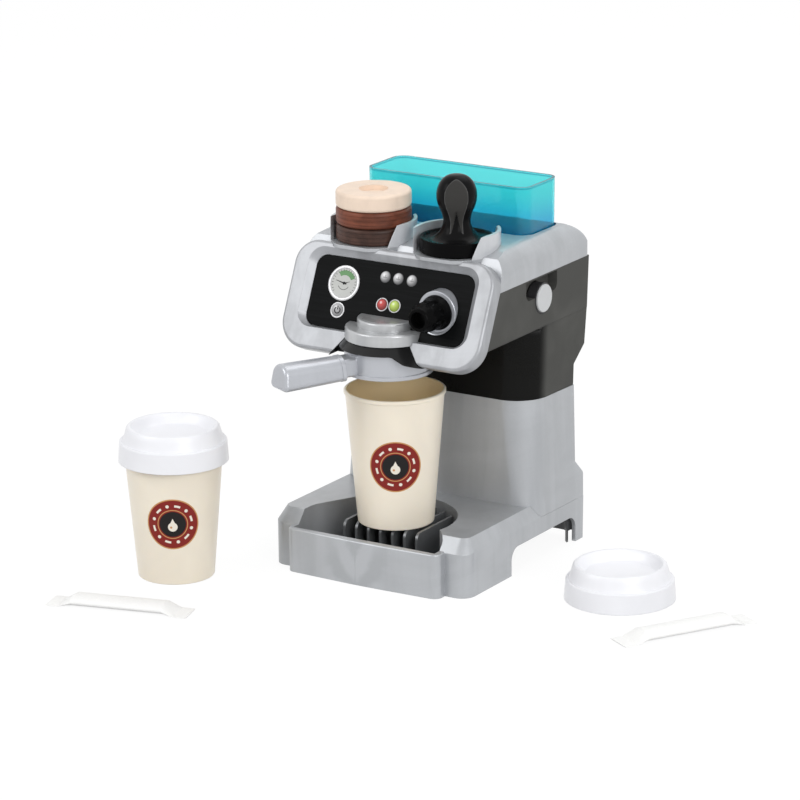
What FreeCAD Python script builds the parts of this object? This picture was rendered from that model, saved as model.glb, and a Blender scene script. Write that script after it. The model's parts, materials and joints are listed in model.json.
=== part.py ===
import FreeCAD, Part
import math
import os

from FreeCAD import Vector

# Toy coffee maker with its cups, lids, tamper, coffee discs and sugar sticks.
# Millimetres. Origin on the surface, on the mid plane, at the middle of the base.
# +X is the right side of the machine seen from the front, -Y is the front, +Z is up.

# Shared walls, gaps and hardware
WALL = 2.5
SEAT_GAP = 0.1
FIT_GAP = 0.3
SLIDE_GAP = 0.8
SHAFT_GAP = 0.06
SCREW_R = 1.4
SCREW_LENGTH = 9.0
SCREW_HEAD_R = 3.0
SCREW_HEAD_H = 2.0
BOSS_R = 4.0
FAR = 400.0

# Base tray
BASE_HALF = 79.2
BASE_FRONT = -82.0
BASE_REAR = 66.0
BASE_CORNER = 10.0
BEVEL_FOOT = 31.0
DECK_TOP = 40.6
DECK_BEVEL = 4.8
DECK_HALF = BASE_HALF - DECK_BEVEL
DECK_FRONT = -73.9
DECK_CORNER = 6.0
BASE_WALL = 3.0
LIP_HALF = 61.5
LIP_FRONT = -91.6
LIP_BOW = 2.0
LIP_TOP = 31.5
LIP_WALL = 3.6
LIP_CORNER = 6.0
ARCH_FRONT = -23.0
ARCH_REAR = 65.5
ARCH_TOP = 19.4
ARCH_ROUND = 9.0
BUMPER_FOOT_REAR = 75.7
BUMPER_REAR = 77.0
BUMPER_SHOULDER = 48.4
BUMPER_TOP = 59.0
BUMPER_SILL = 8.0
BASE_SCREW_Y = (24.0, BASE_REAR - 12.0)

# Drip well and grille
WELL_Y = -57.0
WELL_R = 48.5
WELL_FLOOR = 3.0
WELL_MOUTH_HALF = 57.0
WELL_MOUTH_Y = -77.0
WELL_NECK_HALF = 47.0
WELL_NECK_Y = -64.0
WELL_MOUTH_ROUND = 5.0
WELL_NECK_ROUND = 12.0
WELL_LEFT_HALF = 57.5
WELL_LEFT_Y = -62.0
WELL_LEFT_ROUND = 22.0
WELL_LEFT_JOIN_X = 43.0
WELL_LEFT_JOIN_Y = -34.6
WELL_SLAB_REAR = 10.0
FIN_COUNT = 7
FIN_PITCH = 9.8
FIN_THICK = 2.0
FIN_TOP = 34.8
FIN_FRONT = -67.0
FIN_NOSE = 5.0
FIN_RAIL = 3.0

# Column
COLUMN_TOP = 115.0
COLUMN_STEP = 0.2
COLUMN_FOOT_HALF = BASE_HALF - COLUMN_STEP
COLUMN_FOOT_FRONT = 4.8
COLUMN_FOOT_CORNER = 16.0
COLUMN_TOP_HALF_FRONT = 75.0
COLUMN_TOP_HALF_REAR = 77.3
COLUMN_TOP_FRONT = 7.5
COLUMN_TOP_CORNER = 24.0
COLUMN_COVER_HALF = 55.0
COLUMN_COVER_LOW = 63.0
COLUMN_COVER_HIGH = 107.0
SEAM_SCREW_Y = (28.0, BASE_REAR - 12.0)

# Head
HEAD_FLOOR = 168.0
HEAD_HALF = 79.0
HEAD_SEAM = 205.0
HEAD_REAR_KNEE_Z = 130.0
HEAD_REAR_LOW_Y = 79.4
HEAD_REAR_LOW_Z = 142.0
HEAD_REAR_TOP_Y = 83.8
HEAD_NECK_ROUND = 9.0
HEAD_COVER_HALF = 58.0
HEAD_COVER_LOW = 150.0
HEAD_COVER_HIGH = 197.0
DECK_REAR_Z = 231.0
DECK_MID_Y = -8.0
DECK_MID_Z = 230.0
DECK_FRONT_Z = 226.0
COVER_SIDE_ROUND = 19.0
COVER_REAR_ROUND = 24.0
COVER_PLAN_ROUND = 3.0
TOP_SCREW_Y = (-24.0, HEAD_REAR_TOP_Y - 12.0)

# Control panel plane, which leans back at the top
PANEL_FOOT_Y = -61.7
PANEL_FOOT_Z = 170.2
PANEL_LEAN = 24.5
LABEL_HALF = 63.3
LABEL_TALL = 49.8
LABEL_CORNER = 8.0
LABEL_THICK = 2.0
BEZEL_HALF = 80.0
BEZEL_BELOW = 17.0
BEZEL_ABOVE = 59.0
BEZEL_LOW_ROUND = 20.0
BEZEL_TOP_ROUND = 17.0
BEZEL_PROUD = 4.0
BEZEL_EDGE = 2.6
BEZEL_BACK = 6.4
BEZEL_SIDE_SLOPE = 5.0
BEZEL_FOOT_SLOPE = 1.8
FLANGE_HALF_OPEN = 58.0
BEZEL_SCREW_UP = (10.0, 36.0)

# Holders for the discs and the tamper
HOLDER_X = 33.5
HOLDER_Y = -17.8
HOLDER_R = 27.6
HOLDER_WALL = 2.4
HOLDER_FLOOR = 225.0
HOLDER_TOP = 240.0
HOLDER_FRONT_HALF = 23.0
HOLDER_FRONT_SLANT = 4.0
HOLDER_REAR_HALF = 16.0
HOLDER_REAR_Z = 232.0
HOLDER_LIP_FRONT = -45.5
HOLDER_PEG_R = 1.1
HOLDER_PEG_OUT = 1.0
HOLDER_PEG_DEG = (0.0, 90.0, 180.0)

# Water tank
TANK_HALF = 65.4
TANK_FRONT = 20.4
TANK_REAR = 66.5
TANK_FOOT = 207.0
TANK_TOP = 263.6
TANK_WALL = 1.8
TANK_CORNER = 9.0
TANK_DRAFT = 0.8
TANK_RIM = 1.2

# Group head
GROUP_Y = -53.8
CAP_LOW_R = 29.5
CAP_STEP_Z = 176.3
CAP_HIGH_R = 21.2
CAP_TOP_Z = 182.1
CAP_ROUND = 1.4
RING_TOP_R = 28.4
RING_FOOT_R = 41.0
RING_FOOT_Z = 154.5
RING_NOTCH_LEFT = -31.0
RING_NOTCH_FLARE = 5.0
RING_NOTCH_RIGHT = 19.5
RING_NOTCH_RUN = 8.5
RING_NOTCH_END = 37.5
RING_SHELF_Z = 157.6
BOWL_CLEARANCE = 0.6
LUG_LOW = 156.2
LUG_HIGH = 158.4
LUG_OUT = 2.7
LUG_HALF_DEG = 13.0
GROUP_PAD = 1.5

# Portafilter, turned to the left of straight ahead as it is shown
BOWL_R = 30.2
BOWL_WALL = 2.9
BOWL_FOOT = 144.7
BOWL_TOP = 161.8
RING_CEILING = BOWL_TOP + BOWL_CLEARANCE
BOWL_RIM = 0.7
BOWL_FLOOR = 2.6
SPOUT_R = 3.0
SPOUT_X = 8.0
FILTER_TURN = 26.5
FILTER_UNLOCK = 13.5
HANDLE_Z = 152.4
NECK_WIDE = 15.0
NECK_TALL = 13.0
HANDLE_START = 38.5
HANDLE_END = 86.6
HANDLE_START_WIDE = 21.5
HANDLE_START_TALL = 16.5
HANDLE_END_WIDE = 24.0
HANDLE_END_TALL = 18.0
HANDLE_TAPER = 3.5
HANDLE_FOOT_ROUND = 4.0
HANDLE_TOP_ROUND = 8.4
HANDLE_END_ROUND = 2.8
HANDLE_END_LEAN = 6.0
COLLAR_LONG = 3.0
COLLAR_PROUD = 0.25

# Control knob
KNOB_X = 39.5
KNOB_Z = 190.5
KNOB_FACE_Y = -54.5
KNOB_RING_R = 14.8
KNOB_RING_WALL = 1.0
KNOB_RING_BACK = -40.0
KNOB_FOOT_R = 12.2
KNOB_BODY_R = 10.5
KNOB_NOSE_R = 8.0
KNOB_END_Y = -78.6
KNOB_SOCKET_R = 5.7
KNOB_SOCKET_DEEP = 7.0
KNOB_FLUTES = 8
KNOB_FLUTE_R = 3.6
KNOB_SHAFT_DEEP = 12.0
SPINDLE_R = 3.5
SPINDLE_BACK = -28.0
WHEEL_R = 9.0
WHEEL_THICK = 4.0
WHEEL_TEETH = 12
WHEEL_NOTCH_R = 1.3
CLICK_STRIP = 1.0

# Side button
BUTTON_Y = 20.5
BUTTON_Z = 188.5
BUTTON_R = 10.7
BUTTON_CAP_R = 9.7
BUTTON_OUT = 80.6
BUTTON_CAP_THICK = 1.4
BUTTON_BODY = 7.0
BUTTON_STEM_R = 3.0
POCKET_FRONT = -2.5
POCKET_REAR = 39.5
POCKET_LOW = 190.7
POCKET_TOP = 204.0
POCKET_DEEP = 7.5
POCKET_ROUND = 5.0
GUIDE_DEEP = 11.0
SPRING_R = 5.0
SPRING_WIRE = 0.8

# Coffee discs and tamper
DISC_R = 26.2
DISC_THICK = 11.7
DISC_EDGE = 2.2
DISC_DIMPLE_R = 10.2
DISC_DIMPLE_DEEP = 3.6
DISC_GROOVES = 3
TAMPER_R = 25.8
TAMPER_THICK = 10.2
TAMPER_DISH = 1.2
TAMPER_WAIST_R = 9.4
TAMPER_WAIST_Z = 22.0
TAMPER_BULB_R = 13.9
TAMPER_BULB_Z = 39.6
TAMPER_TOP_Z = 53.0

# Cups and lids
CUP_Y = -46.0
CUP_TALL = 94.7
CUP_FOOT_R = 26.5
CUP_TOP_R = 34.5
CUP_WALL = 1.6
CUP_FLOOR = 2.0
CUP_FOOT_DEEP = 1.2
CUP_BEAD = 0.7
SECOND_CUP_X = -124.8
SECOND_CUP_Y = -134.0
LID_X = 164.6
LID_Y = -22.9
LID_TALL = 24.3
LID_R = 38.1
LID_SKIRT = 14.2
LID_WALL = 1.3
LID_STEP = 2.5
LID_RIM_R = 31.4
LID_DISH_R = 24.0
LID_DISH_DEEP = 6.5
LID_SEAT = 12.1

# Sugar sticks
STICK_LONG = 101.0
STICK_WIDE = 20.0
STICK_TALL = 7.0
STICK_CRIMP = 9.0
STICK_CRIMP_WIDE = 21.5
STICK_CRIMP_TALL = 0.9
STICK_SHOULDER = 9.0
LEFT_STICK_X = -115.5
LEFT_STICK_Y = -213.5
LEFT_STICK_DEG = 14.9
RIGHT_STICK_X = 234.8
RIGHT_STICK_Y = -61.5
RIGHT_STICK_DEG = 59.1

UP = Vector(0, 0, 1)
ZERO = Vector(0, 0, 0)


# Helpers

def box(x0, x1, y0, y1, z0, z1):
    return Part.makeBox(x1 - x0, y1 - y0, z1 - z0, Vector(x0, y0, z0))


def cylinder(radius, x, y, z0, z1):
    return Part.makeCylinder(radius, z1 - z0, Vector(x, y, z0), UP)


def corner_cut(before, here, after, radius):
    """Start, middle and end of the arc that rounds the corner at here."""
    back = (before - here).normalize()
    ahead = (after - here).normalize()
    half = back.getAngle(ahead) / 2
    reach = radius / math.tan(half)
    middle = (back + ahead).normalize() * (radius / math.sin(half) - radius)
    return here + back * reach, here + middle, here + ahead * reach


def outline(points):
    """A closed wire through (x, y, radius) points; a radius of 0 leaves the corner sharp."""
    corners = [Vector(x, y, 0) for x, y, radius in points]
    count = len(points)
    stops = []
    for i in range(count):
        radius = points[i][2]
        here = corners[i]
        if radius > 0:
            stops.append(corner_cut(corners[i - 1], here, corners[(i + 1) % count], radius))
        else:
            stops.append((here, here, here))
    edges = []
    for i in range(count):
        start, middle, end = stops[i]
        if points[i][2] > 0:
            edges.append(Part.Arc(start, middle, end).toShape())
        following = stops[(i + 1) % count][0]
        if (following - end).Length > 1e-6:
            edges.append(Part.makeLine(end, following))
    return Part.Wire(edges)


def prism(points, z0, z1):
    """Extrude an outline in the XY plane from z0 to z1."""
    face = Part.Face(outline(points))
    face.translate(Vector(0, 0, z0))
    return face.extrude(Vector(0, 0, z1 - z0))


def side_prism(points, x0, x1):
    """Extrude an outline given as (y, z, radius) along X from x0 to x1."""
    face = Part.Face(outline(points))
    face.rotate(ZERO, Vector(1, 0, 0), 90)
    face.rotate(ZERO, UP, 90)
    face.translate(Vector(x0, 0, 0))
    return face.extrude(Vector(x1 - x0, 0, 0))


def front_prism(points, y0, y1):
    """Extrude an outline given as (x, z, radius) along Y from y0 to y1."""
    face = Part.Face(outline(points))
    face.rotate(ZERO, Vector(1, 0, 0), 90)
    face.translate(Vector(0, y1, 0))
    return face.extrude(Vector(0, y0 - y1, 0))


def rounded_box(half, y0, y1, radius, z0, z1):
    return prism(rectangle(half, y0, y1, radius), z0, z1)


def rectangle(half, y0, y1, radius):
    return [(-half, y0, radius), (half, y0, radius), (half, y1, radius), (-half, y1, radius)]


def loft(low_points, z0, high_points, z1):
    """A ruled solid between two outlines with as many corners."""
    low = outline(low_points)
    low.translate(Vector(0, 0, z0))
    high = outline(high_points)
    high.translate(Vector(0, 0, z1))
    return Part.makeLoft([low, high], True, True)


def turned(profile, x=0.0, y=0.0):
    """Turn a closed (radius, z) profile about the vertical through x, y."""
    points = [Vector(radius, 0, z) for radius, z in profile]
    face = Part.Face(Part.makePolygon(points + points[:1]))
    solid = face.revolve(ZERO, UP, 360)
    solid.translate(Vector(x, y, 0))
    return solid


def turned_along(profile, x, z):
    """Turn a closed (radius, y) profile about the line along Y through x, z."""
    points = [Vector(radius, y, 0) for radius, y in profile]
    face = Part.Face(Part.makePolygon(points + points[:1]))
    solid = face.revolve(ZERO, Vector(0, 1, 0), 360)
    solid.translate(Vector(x, 0, z))
    return solid


def on_panel(shape):
    """Move a shape from panel coordinates (across, up the panel, out of it) to its place."""
    placed = shape.copy()
    placed.rotate(ZERO, Vector(1, 0, 0), 90 - PANEL_LEAN)
    placed.translate(Vector(0, PANEL_FOOT_Y, PANEL_FOOT_Z))
    return placed


def panel_y(z, out):
    """The y of the panel's plane at a height, moved out of the panel by a distance."""
    lean = math.radians(PANEL_LEAN)
    return PANEL_FOOT_Y + (z - PANEL_FOOT_Z) * math.tan(lean) - out / math.cos(lean)


def round_edges(shape, radius, wanted):
    """Round the edges that wanted picks."""
    edges = [edge for edge in shape.Edges if wanted(edge)]
    return shape.makeFillet(radius, edges)


def at_height(z):
    """A test for edges that lie at one height."""
    def test(edge):
        bounds = edge.BoundBox
        return abs(bounds.ZMin - z) < 1e-4 and abs(bounds.ZMax - z) < 1e-4
    return test


def screw(head, axis):
    """A pan head screw whose head sits at a point and whose shank runs along axis."""
    shank = Part.makeCylinder(SCREW_R, SCREW_LENGTH, head, axis)
    top = Part.makeCylinder(SCREW_HEAD_R, SCREW_HEAD_H, head - axis * SCREW_HEAD_H, axis)
    return top.fuse(shank).removeSplitter()


def screw_set(heads, axis):
    return Part.makeCompound([screw(head, axis) for head in heads])


def holes(heads, axis, reach):
    """Pilot holes for a set of screws."""
    return Part.makeCompound([Part.makeCylinder(SCREW_R, reach, head, axis) for head in heads])


def save(shape, node):
    shape.exportStep("parts/" + node + ".step")


# Column and head outlines, shared by the shells, their covers and what they meet

def column_foot(inset):
    half = COLUMN_FOOT_HALF - inset
    front = COLUMN_FOOT_FRONT + inset
    corner = COLUMN_FOOT_CORNER - inset
    rear = BASE_REAR - inset
    return [(-half, front, corner), (half, front, corner), (half, rear, 0), (-half, rear, 0)]


def column_head(inset):
    narrow = COLUMN_TOP_HALF_FRONT - inset
    wide = COLUMN_TOP_HALF_REAR - inset
    front = COLUMN_TOP_FRONT + inset
    corner = COLUMN_TOP_CORNER - inset
    rear = BASE_REAR - inset
    return [(-narrow, front, corner), (narrow, front, corner), (wide, rear, 0), (-wide, rear, 0)]


def column_form(inset):
    return loft(column_foot(inset), BEVEL_FOOT, column_head(inset), COLUMN_TOP)


def neck_plan(inset, half_front, half_rear):
    front = COLUMN_TOP_FRONT + inset
    corner = COLUMN_TOP_CORNER - inset
    rear = HEAD_REAR_TOP_Y + WALL
    return [(-half_front + inset, front, corner), (half_front - inset, front, corner),
            (half_rear - inset, rear, 0), (-half_rear + inset, rear, 0)]


def neck_form(inset):
    """The neck under the head: it widens from the column seam to the head's floor."""
    widen = HEAD_HALF - COLUMN_TOP_HALF_REAR
    high = neck_plan(inset, COLUMN_TOP_HALF_FRONT + widen, HEAD_HALF)
    plan = loft(neck_plan(inset, COLUMN_TOP_HALF_FRONT, COLUMN_TOP_HALF_REAR), COLUMN_TOP,
                high, HEAD_FLOOR)
    plan = plan.fuse(prism(high, HEAD_FLOOR, HEAD_SEAM))
    front = COLUMN_TOP_FRONT - WALL
    side = side_prism([(front, COLUMN_TOP, 0), (BASE_REAR - inset, COLUMN_TOP, 0),
                       (BASE_REAR - inset, HEAD_REAR_KNEE_Z, 0),
                       (HEAD_REAR_LOW_Y - inset, HEAD_REAR_LOW_Z, 0),
                       (HEAD_REAR_TOP_Y - inset, HEAD_SEAM, 0), (front, HEAD_SEAM, 0)],
                      -HEAD_HALF, HEAD_HALF)
    return plan.common(side)


def head_form(inset):
    """The overhanging head between its floor and the seam with the top cover."""
    low = HEAD_FLOOR + inset
    slope = (HEAD_REAR_TOP_Y - HEAD_REAR_LOW_Y) / (HEAD_SEAM - HEAD_REAR_LOW_Z)
    rear_low = HEAD_REAR_LOW_Y + slope * (low - HEAD_REAR_LOW_Z) - inset
    return side_prism([(panel_y(low, -BEZEL_BACK), low, 0), (rear_low, low, 0),
                       (HEAD_REAR_TOP_Y - inset, HEAD_SEAM, 0),
                       (panel_y(HEAD_SEAM, -BEZEL_BACK), HEAD_SEAM, 0)],
                      -HEAD_HALF + inset, HEAD_HALF - inset)


def top_form(inset):
    """The silver top of the head, rounded at its sides and rear."""
    rear = HEAD_REAR_TOP_Y - inset
    half = HEAD_HALF - inset
    top = DECK_REAR_Z - inset
    side = side_prism([(panel_y(HEAD_SEAM, -BEZEL_BACK), HEAD_SEAM, 0), (rear, HEAD_SEAM, 0),
                       (rear, top, COVER_REAR_ROUND - inset), (DECK_MID_Y, DECK_MID_Z - inset, 0),
                       (panel_y(DECK_FRONT_Z, -BEZEL_BACK), DECK_FRONT_Z - inset, 0)],
                      -HEAD_HALF, HEAD_HALF)
    front = front_prism([(-half, HEAD_SEAM, 0), (half, HEAD_SEAM, 0),
                         (half, top, COVER_SIDE_ROUND - inset),
                         (-half, top, COVER_SIDE_ROUND - inset)], BASE_FRONT, HEAD_REAR_TOP_Y)
    corner = COVER_PLAN_ROUND - inset
    plan = prism([(-half, BASE_FRONT, 0), (half, BASE_FRONT, 0), (half, rear, corner),
                  (-half, rear, corner)], HEAD_SEAM, DECK_REAR_Z)
    return side.common(front).common(plan)


# Base

def base_screw_heads():
    """The four screws that hold the column come up through the base from below."""
    reach = COLUMN_FOOT_HALF - COLUMN_FOOT_CORNER
    z = BEVEL_FOOT - BASE_WALL
    return [Vector(side * reach, y, z) for side in (-1, 1) for y in BASE_SCREW_Y]


def well_form(grow, z0, z1):
    """The drip well: round at the rear, with an easy left wall and a flared right mouth."""
    mouth = WELL_MOUTH_HALF + grow
    neck = WELL_NECK_HALF + grow
    front = LIP_FRONT + LIP_WALL - grow
    round_part = cylinder(WELL_R + grow, 0, WELL_Y, z0, z1).common(
        box(-FAR, FAR, front, FAR, z0, z1))
    flare = prism([(0, front, 0), (mouth, front, 0), (mouth, WELL_MOUTH_Y, WELL_MOUTH_ROUND),
                   (neck, WELL_NECK_Y, WELL_NECK_ROUND), (0, WELL_NECK_Y, 0)], z0, z1)
    left = WELL_LEFT_HALF + grow
    join = 1 + grow / WELL_R
    sweep = prism([(-left, front, 0), (0, front, 0), (0, WELL_Y, 0),
                   (-WELL_LEFT_JOIN_X * join, WELL_Y + (WELL_LEFT_JOIN_Y - WELL_Y) * join, 0),
                   (-left, WELL_LEFT_Y, WELL_LEFT_ROUND + grow)], z0, z1)
    return round_part.fuse(flare).fuse(sweep).removeSplitter()


def lip():
    bow = LIP_HALF * LIP_HALF / (2 * LIP_BOW)
    form = prism([(-LIP_HALF, BASE_FRONT + BASE_WALL, 0), (-LIP_HALF, LIP_FRONT, LIP_CORNER),
                  (0, LIP_FRONT - LIP_BOW, bow * 0.5), (LIP_HALF, LIP_FRONT, LIP_CORNER),
                  (LIP_HALF, BASE_FRONT + BASE_WALL, 0)], 0, LIP_TOP)
    return round_edges(form, 1.2, at_height(LIP_TOP))


def deck():
    """The raised deck in front of the column, with bevels at its sides and front."""
    behind = COLUMN_TOP_CORNER + COLUMN_FOOT_FRONT
    low = [(-BASE_HALF, BASE_FRONT, BASE_CORNER), (BASE_HALF, BASE_FRONT, BASE_CORNER),
           (BASE_HALF, behind, 0), (-BASE_HALF, behind, 0)]
    high = [(-DECK_HALF, DECK_FRONT, DECK_CORNER), (DECK_HALF, DECK_FRONT, DECK_CORNER),
            (DECK_HALF, behind, 0), (-DECK_HALF, behind, 0)]
    return loft(low, BEVEL_FOOT, high, DECK_TOP).cut(column_form(0))


def bumper(inset):
    """The rear wall of the base, which steps back behind the column and ends in two feet."""
    return side_prism([(BASE_REAR + inset, 0, 0), (BUMPER_FOOT_REAR - inset, 0, 0),
                       (BUMPER_REAR - inset, BUMPER_SHOULDER - inset, 4),
                       (BASE_REAR + inset, BUMPER_TOP - 2 * inset, 0)],
                      -BASE_HALF + inset, BASE_HALF - inset)


def bumper_limit():
    """Above the base the rear wall narrows with the column's sides."""
    y0 = BASE_REAR - 1
    y1 = BUMPER_REAR + 1
    low = [(-COLUMN_FOOT_HALF, y0, 0), (COLUMN_FOOT_HALF, y0, 0), (COLUMN_FOOT_HALF, y1, 0),
           (-COLUMN_FOOT_HALF, y1, 0)]
    high = [(-COLUMN_TOP_HALF_REAR, y0, 0), (COLUMN_TOP_HALF_REAR, y0, 0),
            (COLUMN_TOP_HALF_REAR, y1, 0), (-COLUMN_TOP_HALF_REAR, y1, 0)]
    return box(-BASE_HALF, BASE_HALF, y0, y1, 0, BEVEL_FOOT).fuse(
        loft(low, BEVEL_FOOT, high, COLUMN_TOP))


def base_tray():
    outer = prism([(-BASE_HALF, BASE_FRONT, BASE_CORNER), (BASE_HALF, BASE_FRONT, BASE_CORNER),
                   (BASE_HALF, BASE_REAR, 0), (-BASE_HALF, BASE_REAR, 0)], 0, BEVEL_FOOT)
    inside = BASE_HALF - BASE_WALL
    hollow = rounded_box(inside, BASE_FRONT + BASE_WALL, BASE_REAR - BASE_WALL,
                         BASE_CORNER - BASE_WALL, -1, BEVEL_FOOT - BASE_WALL)
    under_deck = rounded_box(DECK_HALF - BASE_WALL, DECK_FRONT + BASE_WALL,
                             COLUMN_FOOT_FRONT - BASE_WALL, BASE_WALL,
                             BEVEL_FOOT - BASE_WALL - 1, DECK_TOP - BASE_WALL)
    form = outer.fuse(deck())
    tray = form.cut(hollow).cut(under_deck)
    well_walls = well_form(WALL, 0, DECK_TOP).common(form).common(
        box(-BASE_HALF, BASE_HALF, BASE_FRONT, COLUMN_FOOT_FRONT, 0, DECK_TOP))
    tray = tray.fuse(lip()).fuse(well_walls)
    tray = tray.fuse(box(-WELL_NECK_HALF, WELL_NECK_HALF, WELL_Y, WELL_SLAB_REAR, 0, WELL_FLOOR))
    tray = tray.cut(well_form(0, WELL_FLOOR, DECK_TOP + 1))
    arch = [(ARCH_FRONT, -1, 0), (ARCH_FRONT, ARCH_TOP, ARCH_ROUND),
            (ARCH_REAR, ARCH_TOP, ARCH_ROUND), (ARCH_REAR, -1, 0)]
    for x0 in (-BASE_HALF - 1, BASE_HALF - BASE_WALL - 1):
        tray = tray.cut(side_prism(arch, x0, x0 + BASE_WALL + 2))
    under_rear = box(-inside, inside, BASE_REAR - BASE_WALL - 1, BASE_REAR, -1, BUMPER_SILL)
    rear = bumper(0).common(bumper_limit()).cut(bumper(BASE_WALL))
    rear = rear.cut(box(-inside, inside, BASE_REAR - 1, BUMPER_REAR + 1, -1, BUMPER_SILL))
    tray = tray.cut(under_rear).fuse(rear)
    tray = tray.cut(holes(base_screw_heads(), UP, BASE_WALL + 1))
    return tray.removeSplitter()


def drip_grille():
    """Seven upright fins on two cross rails, which stand on the floor of the well."""
    foot = WELL_FLOOR + SEAT_GAP
    solids = []
    half_row = (FIN_COUNT - 1) / 2
    for i in range(FIN_COUNT):
        x = (i - half_row) * FIN_PITCH
        rear = WELL_Y + math.sqrt((WELL_R - FIT_GAP) ** 2 - (abs(x) + FIN_THICK) ** 2)
        solids.append(side_prism([(FIN_FRONT, foot, 0), (rear, foot, 0), (rear, FIN_TOP, 0),
                                  (FIN_FRONT, FIN_TOP, FIN_NOSE)],
                                 x - FIN_THICK / 2, x + FIN_THICK / 2))
    reach = half_row * FIN_PITCH + FIN_THICK / 2
    for y in (FIN_FRONT + 3 * FIN_NOSE, WELL_Y + WELL_R / 2):
        solids.append(box(-reach, reach, y, y + FIN_RAIL, foot, foot + 5 * FIN_RAIL))
    grille = solids[0].multiFuse(solids[1:])
    return grille.removeSplitter()


# Column

def seam_screw_heads():
    """Four screws come up through the top of the column into the neck."""
    reach = COLUMN_TOP_HALF_FRONT - COLUMN_TOP_CORNER / 2
    z = COLUMN_TOP - WALL
    return [Vector(side * reach, y, z) for side in (-1, 1) for y in SEAM_SCREW_Y]


def bosses(heads, axis, start, reach):
    """Round posts that take a set of screws, from start to reach beyond the head's seat."""
    return [Part.makeCylinder(BOSS_R, reach - start, head + axis * start, axis) for head in heads]


def column_cover_block(gap):
    return box(-COLUMN_COVER_HALF - gap, COLUMN_COVER_HALF + gap, BASE_REAR - 2 * WALL,
               BASE_REAR + 1, COLUMN_COVER_LOW - gap, COLUMN_COVER_HIGH + gap)


def column_cover_heads():
    x = COLUMN_COVER_HALF - 2 * SCREW_HEAD_R
    spots = [(side * x, z) for side in (-1, 1)
             for z in (COLUMN_COVER_LOW + 2 * SCREW_HEAD_R, COLUMN_COVER_HIGH - 2 * SCREW_HEAD_R)]
    return [Vector(x, BASE_REAR, z) for x, z in spots]


def column_shell():
    shell = column_form(0).cut(column_form(WALL))
    window = COLUMN_TOP_HALF_FRONT - COLUMN_TOP_CORNER
    for z in (BEVEL_FOOT, COLUMN_TOP - WALL):
        plate = column_form(WALL).common(box(-FAR, FAR, -FAR, FAR, z, z + WALL))
        opening = rounded_box(window, COLUMN_TOP_CORNER, BASE_REAR - 4 * WALL, WALL, z - 1, z + WALL + 1)
        shell = shell.fuse(plate.cut(opening))
    heads = base_screw_heads()
    posts = bosses(heads, UP, BASE_WALL, BASE_WALL + SCREW_LENGTH)
    shell = shell.multiFuse(posts).cut(holes(heads, UP, SCREW_LENGTH))
    shell = shell.cut(holes(seam_screw_heads(), UP, WALL + 1))
    ledge = column_cover_block(WALL).cut(column_cover_block(-3 * WALL))
    ledge = ledge.common(box(-FAR, FAR, BASE_REAR - 2 * WALL, BASE_REAR - WALL, 0, FAR))
    shell = shell.fuse(ledge).cut(column_cover_block(FIT_GAP).common(
        box(-FAR, FAR, BASE_REAR - WALL, FAR, 0, FAR)))
    tabs = bosses(column_cover_heads(), Vector(0, -1, 0), WALL, WALL + SCREW_LENGTH)
    shell = shell.multiFuse(tabs).cut(holes(column_cover_heads(), Vector(0, -1, 0), SCREW_LENGTH))
    return shell.removeSplitter()


def column_rear_cover():
    cover = column_cover_block(0).common(box(-FAR, FAR, BASE_REAR - WALL, BASE_REAR, 0, FAR))
    return cover.cut(holes(column_cover_heads(), Vector(0, -1, 0), SCREW_LENGTH))


# Head housing

def top_screw_heads():
    """Four screws come up through ledges in the housing into posts under the top cover."""
    z = HEAD_SEAM - 4 * WALL
    x = HEAD_HALF - WALL - SCREW_HEAD_R - FIT_GAP
    return [Vector(side * x, y, z) for side in (-1, 1) for y in TOP_SCREW_Y]


def bezel_screw_spots():
    """Where the bezel's screws stand on the panel: across and up."""
    x = (LABEL_HALF + HEAD_HALF) / 2 + 1
    return [(side * x, up) for side in (-1, 1) for up in BEZEL_SCREW_UP]


def bezel_screws():
    depth = BEZEL_BACK + WALL
    return on_panel(screw_set([Vector(x, up, -depth) for x, up in bezel_screw_spots()], UP))


def bezel_screw_holes():
    depth = BEZEL_BACK + WALL
    heads = [Vector(x, up, -depth) for x, up in bezel_screw_spots()]
    return on_panel(holes(heads, UP, SCREW_LENGTH))


def group_screw_heads():
    """Two screws go down through pads on the head's floor and end inside the bayonet ring."""
    return [Vector(side * RING_TOP_R / 2, GROUP_Y + RING_TOP_R / 2, HEAD_FLOOR + WALL + GROUP_PAD)
            for side in (-1, 1)]


def head_cover_block(gap):
    return box(-HEAD_COVER_HALF - gap, HEAD_COVER_HALF + gap, BASE_REAR, FAR,
               HEAD_COVER_LOW - gap, HEAD_COVER_HIGH + gap)


def head_cover_heads():
    """Screw seats on the sloping rear cover; the screws run level."""
    x = HEAD_COVER_HALF - 2 * SCREW_HEAD_R
    slope = (HEAD_REAR_TOP_Y - HEAD_REAR_LOW_Y) / (HEAD_SEAM - HEAD_REAR_LOW_Z)
    heads = []
    for side in (-1, 1):
        for z in (HEAD_COVER_LOW + 2 * SCREW_HEAD_R, HEAD_COVER_HIGH - 2 * SCREW_HEAD_R):
            y = HEAD_REAR_LOW_Y + slope * (z + SCREW_HEAD_R - HEAD_REAR_LOW_Z)
            heads.append(Vector(side * x, y, z))
    return heads


def button_pocket():
    """The pocket under the seam and the round guide of the side button."""
    deep = HEAD_HALF - POCKET_DEEP
    pocket = side_prism([(POCKET_FRONT, POCKET_LOW, POCKET_ROUND), (POCKET_REAR, POCKET_LOW, POCKET_ROUND),
                         (POCKET_REAR, POCKET_TOP, 1), (POCKET_FRONT, POCKET_TOP, 1)],
                        deep, HEAD_HALF + 1)
    guide = Part.makeCylinder(BUTTON_R + FIT_GAP, GUIDE_DEEP + 1,
                              Vector(HEAD_HALF - GUIDE_DEEP, BUTTON_Y, BUTTON_Z), Vector(1, 0, 0))
    return pocket.fuse(guide)


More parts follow.
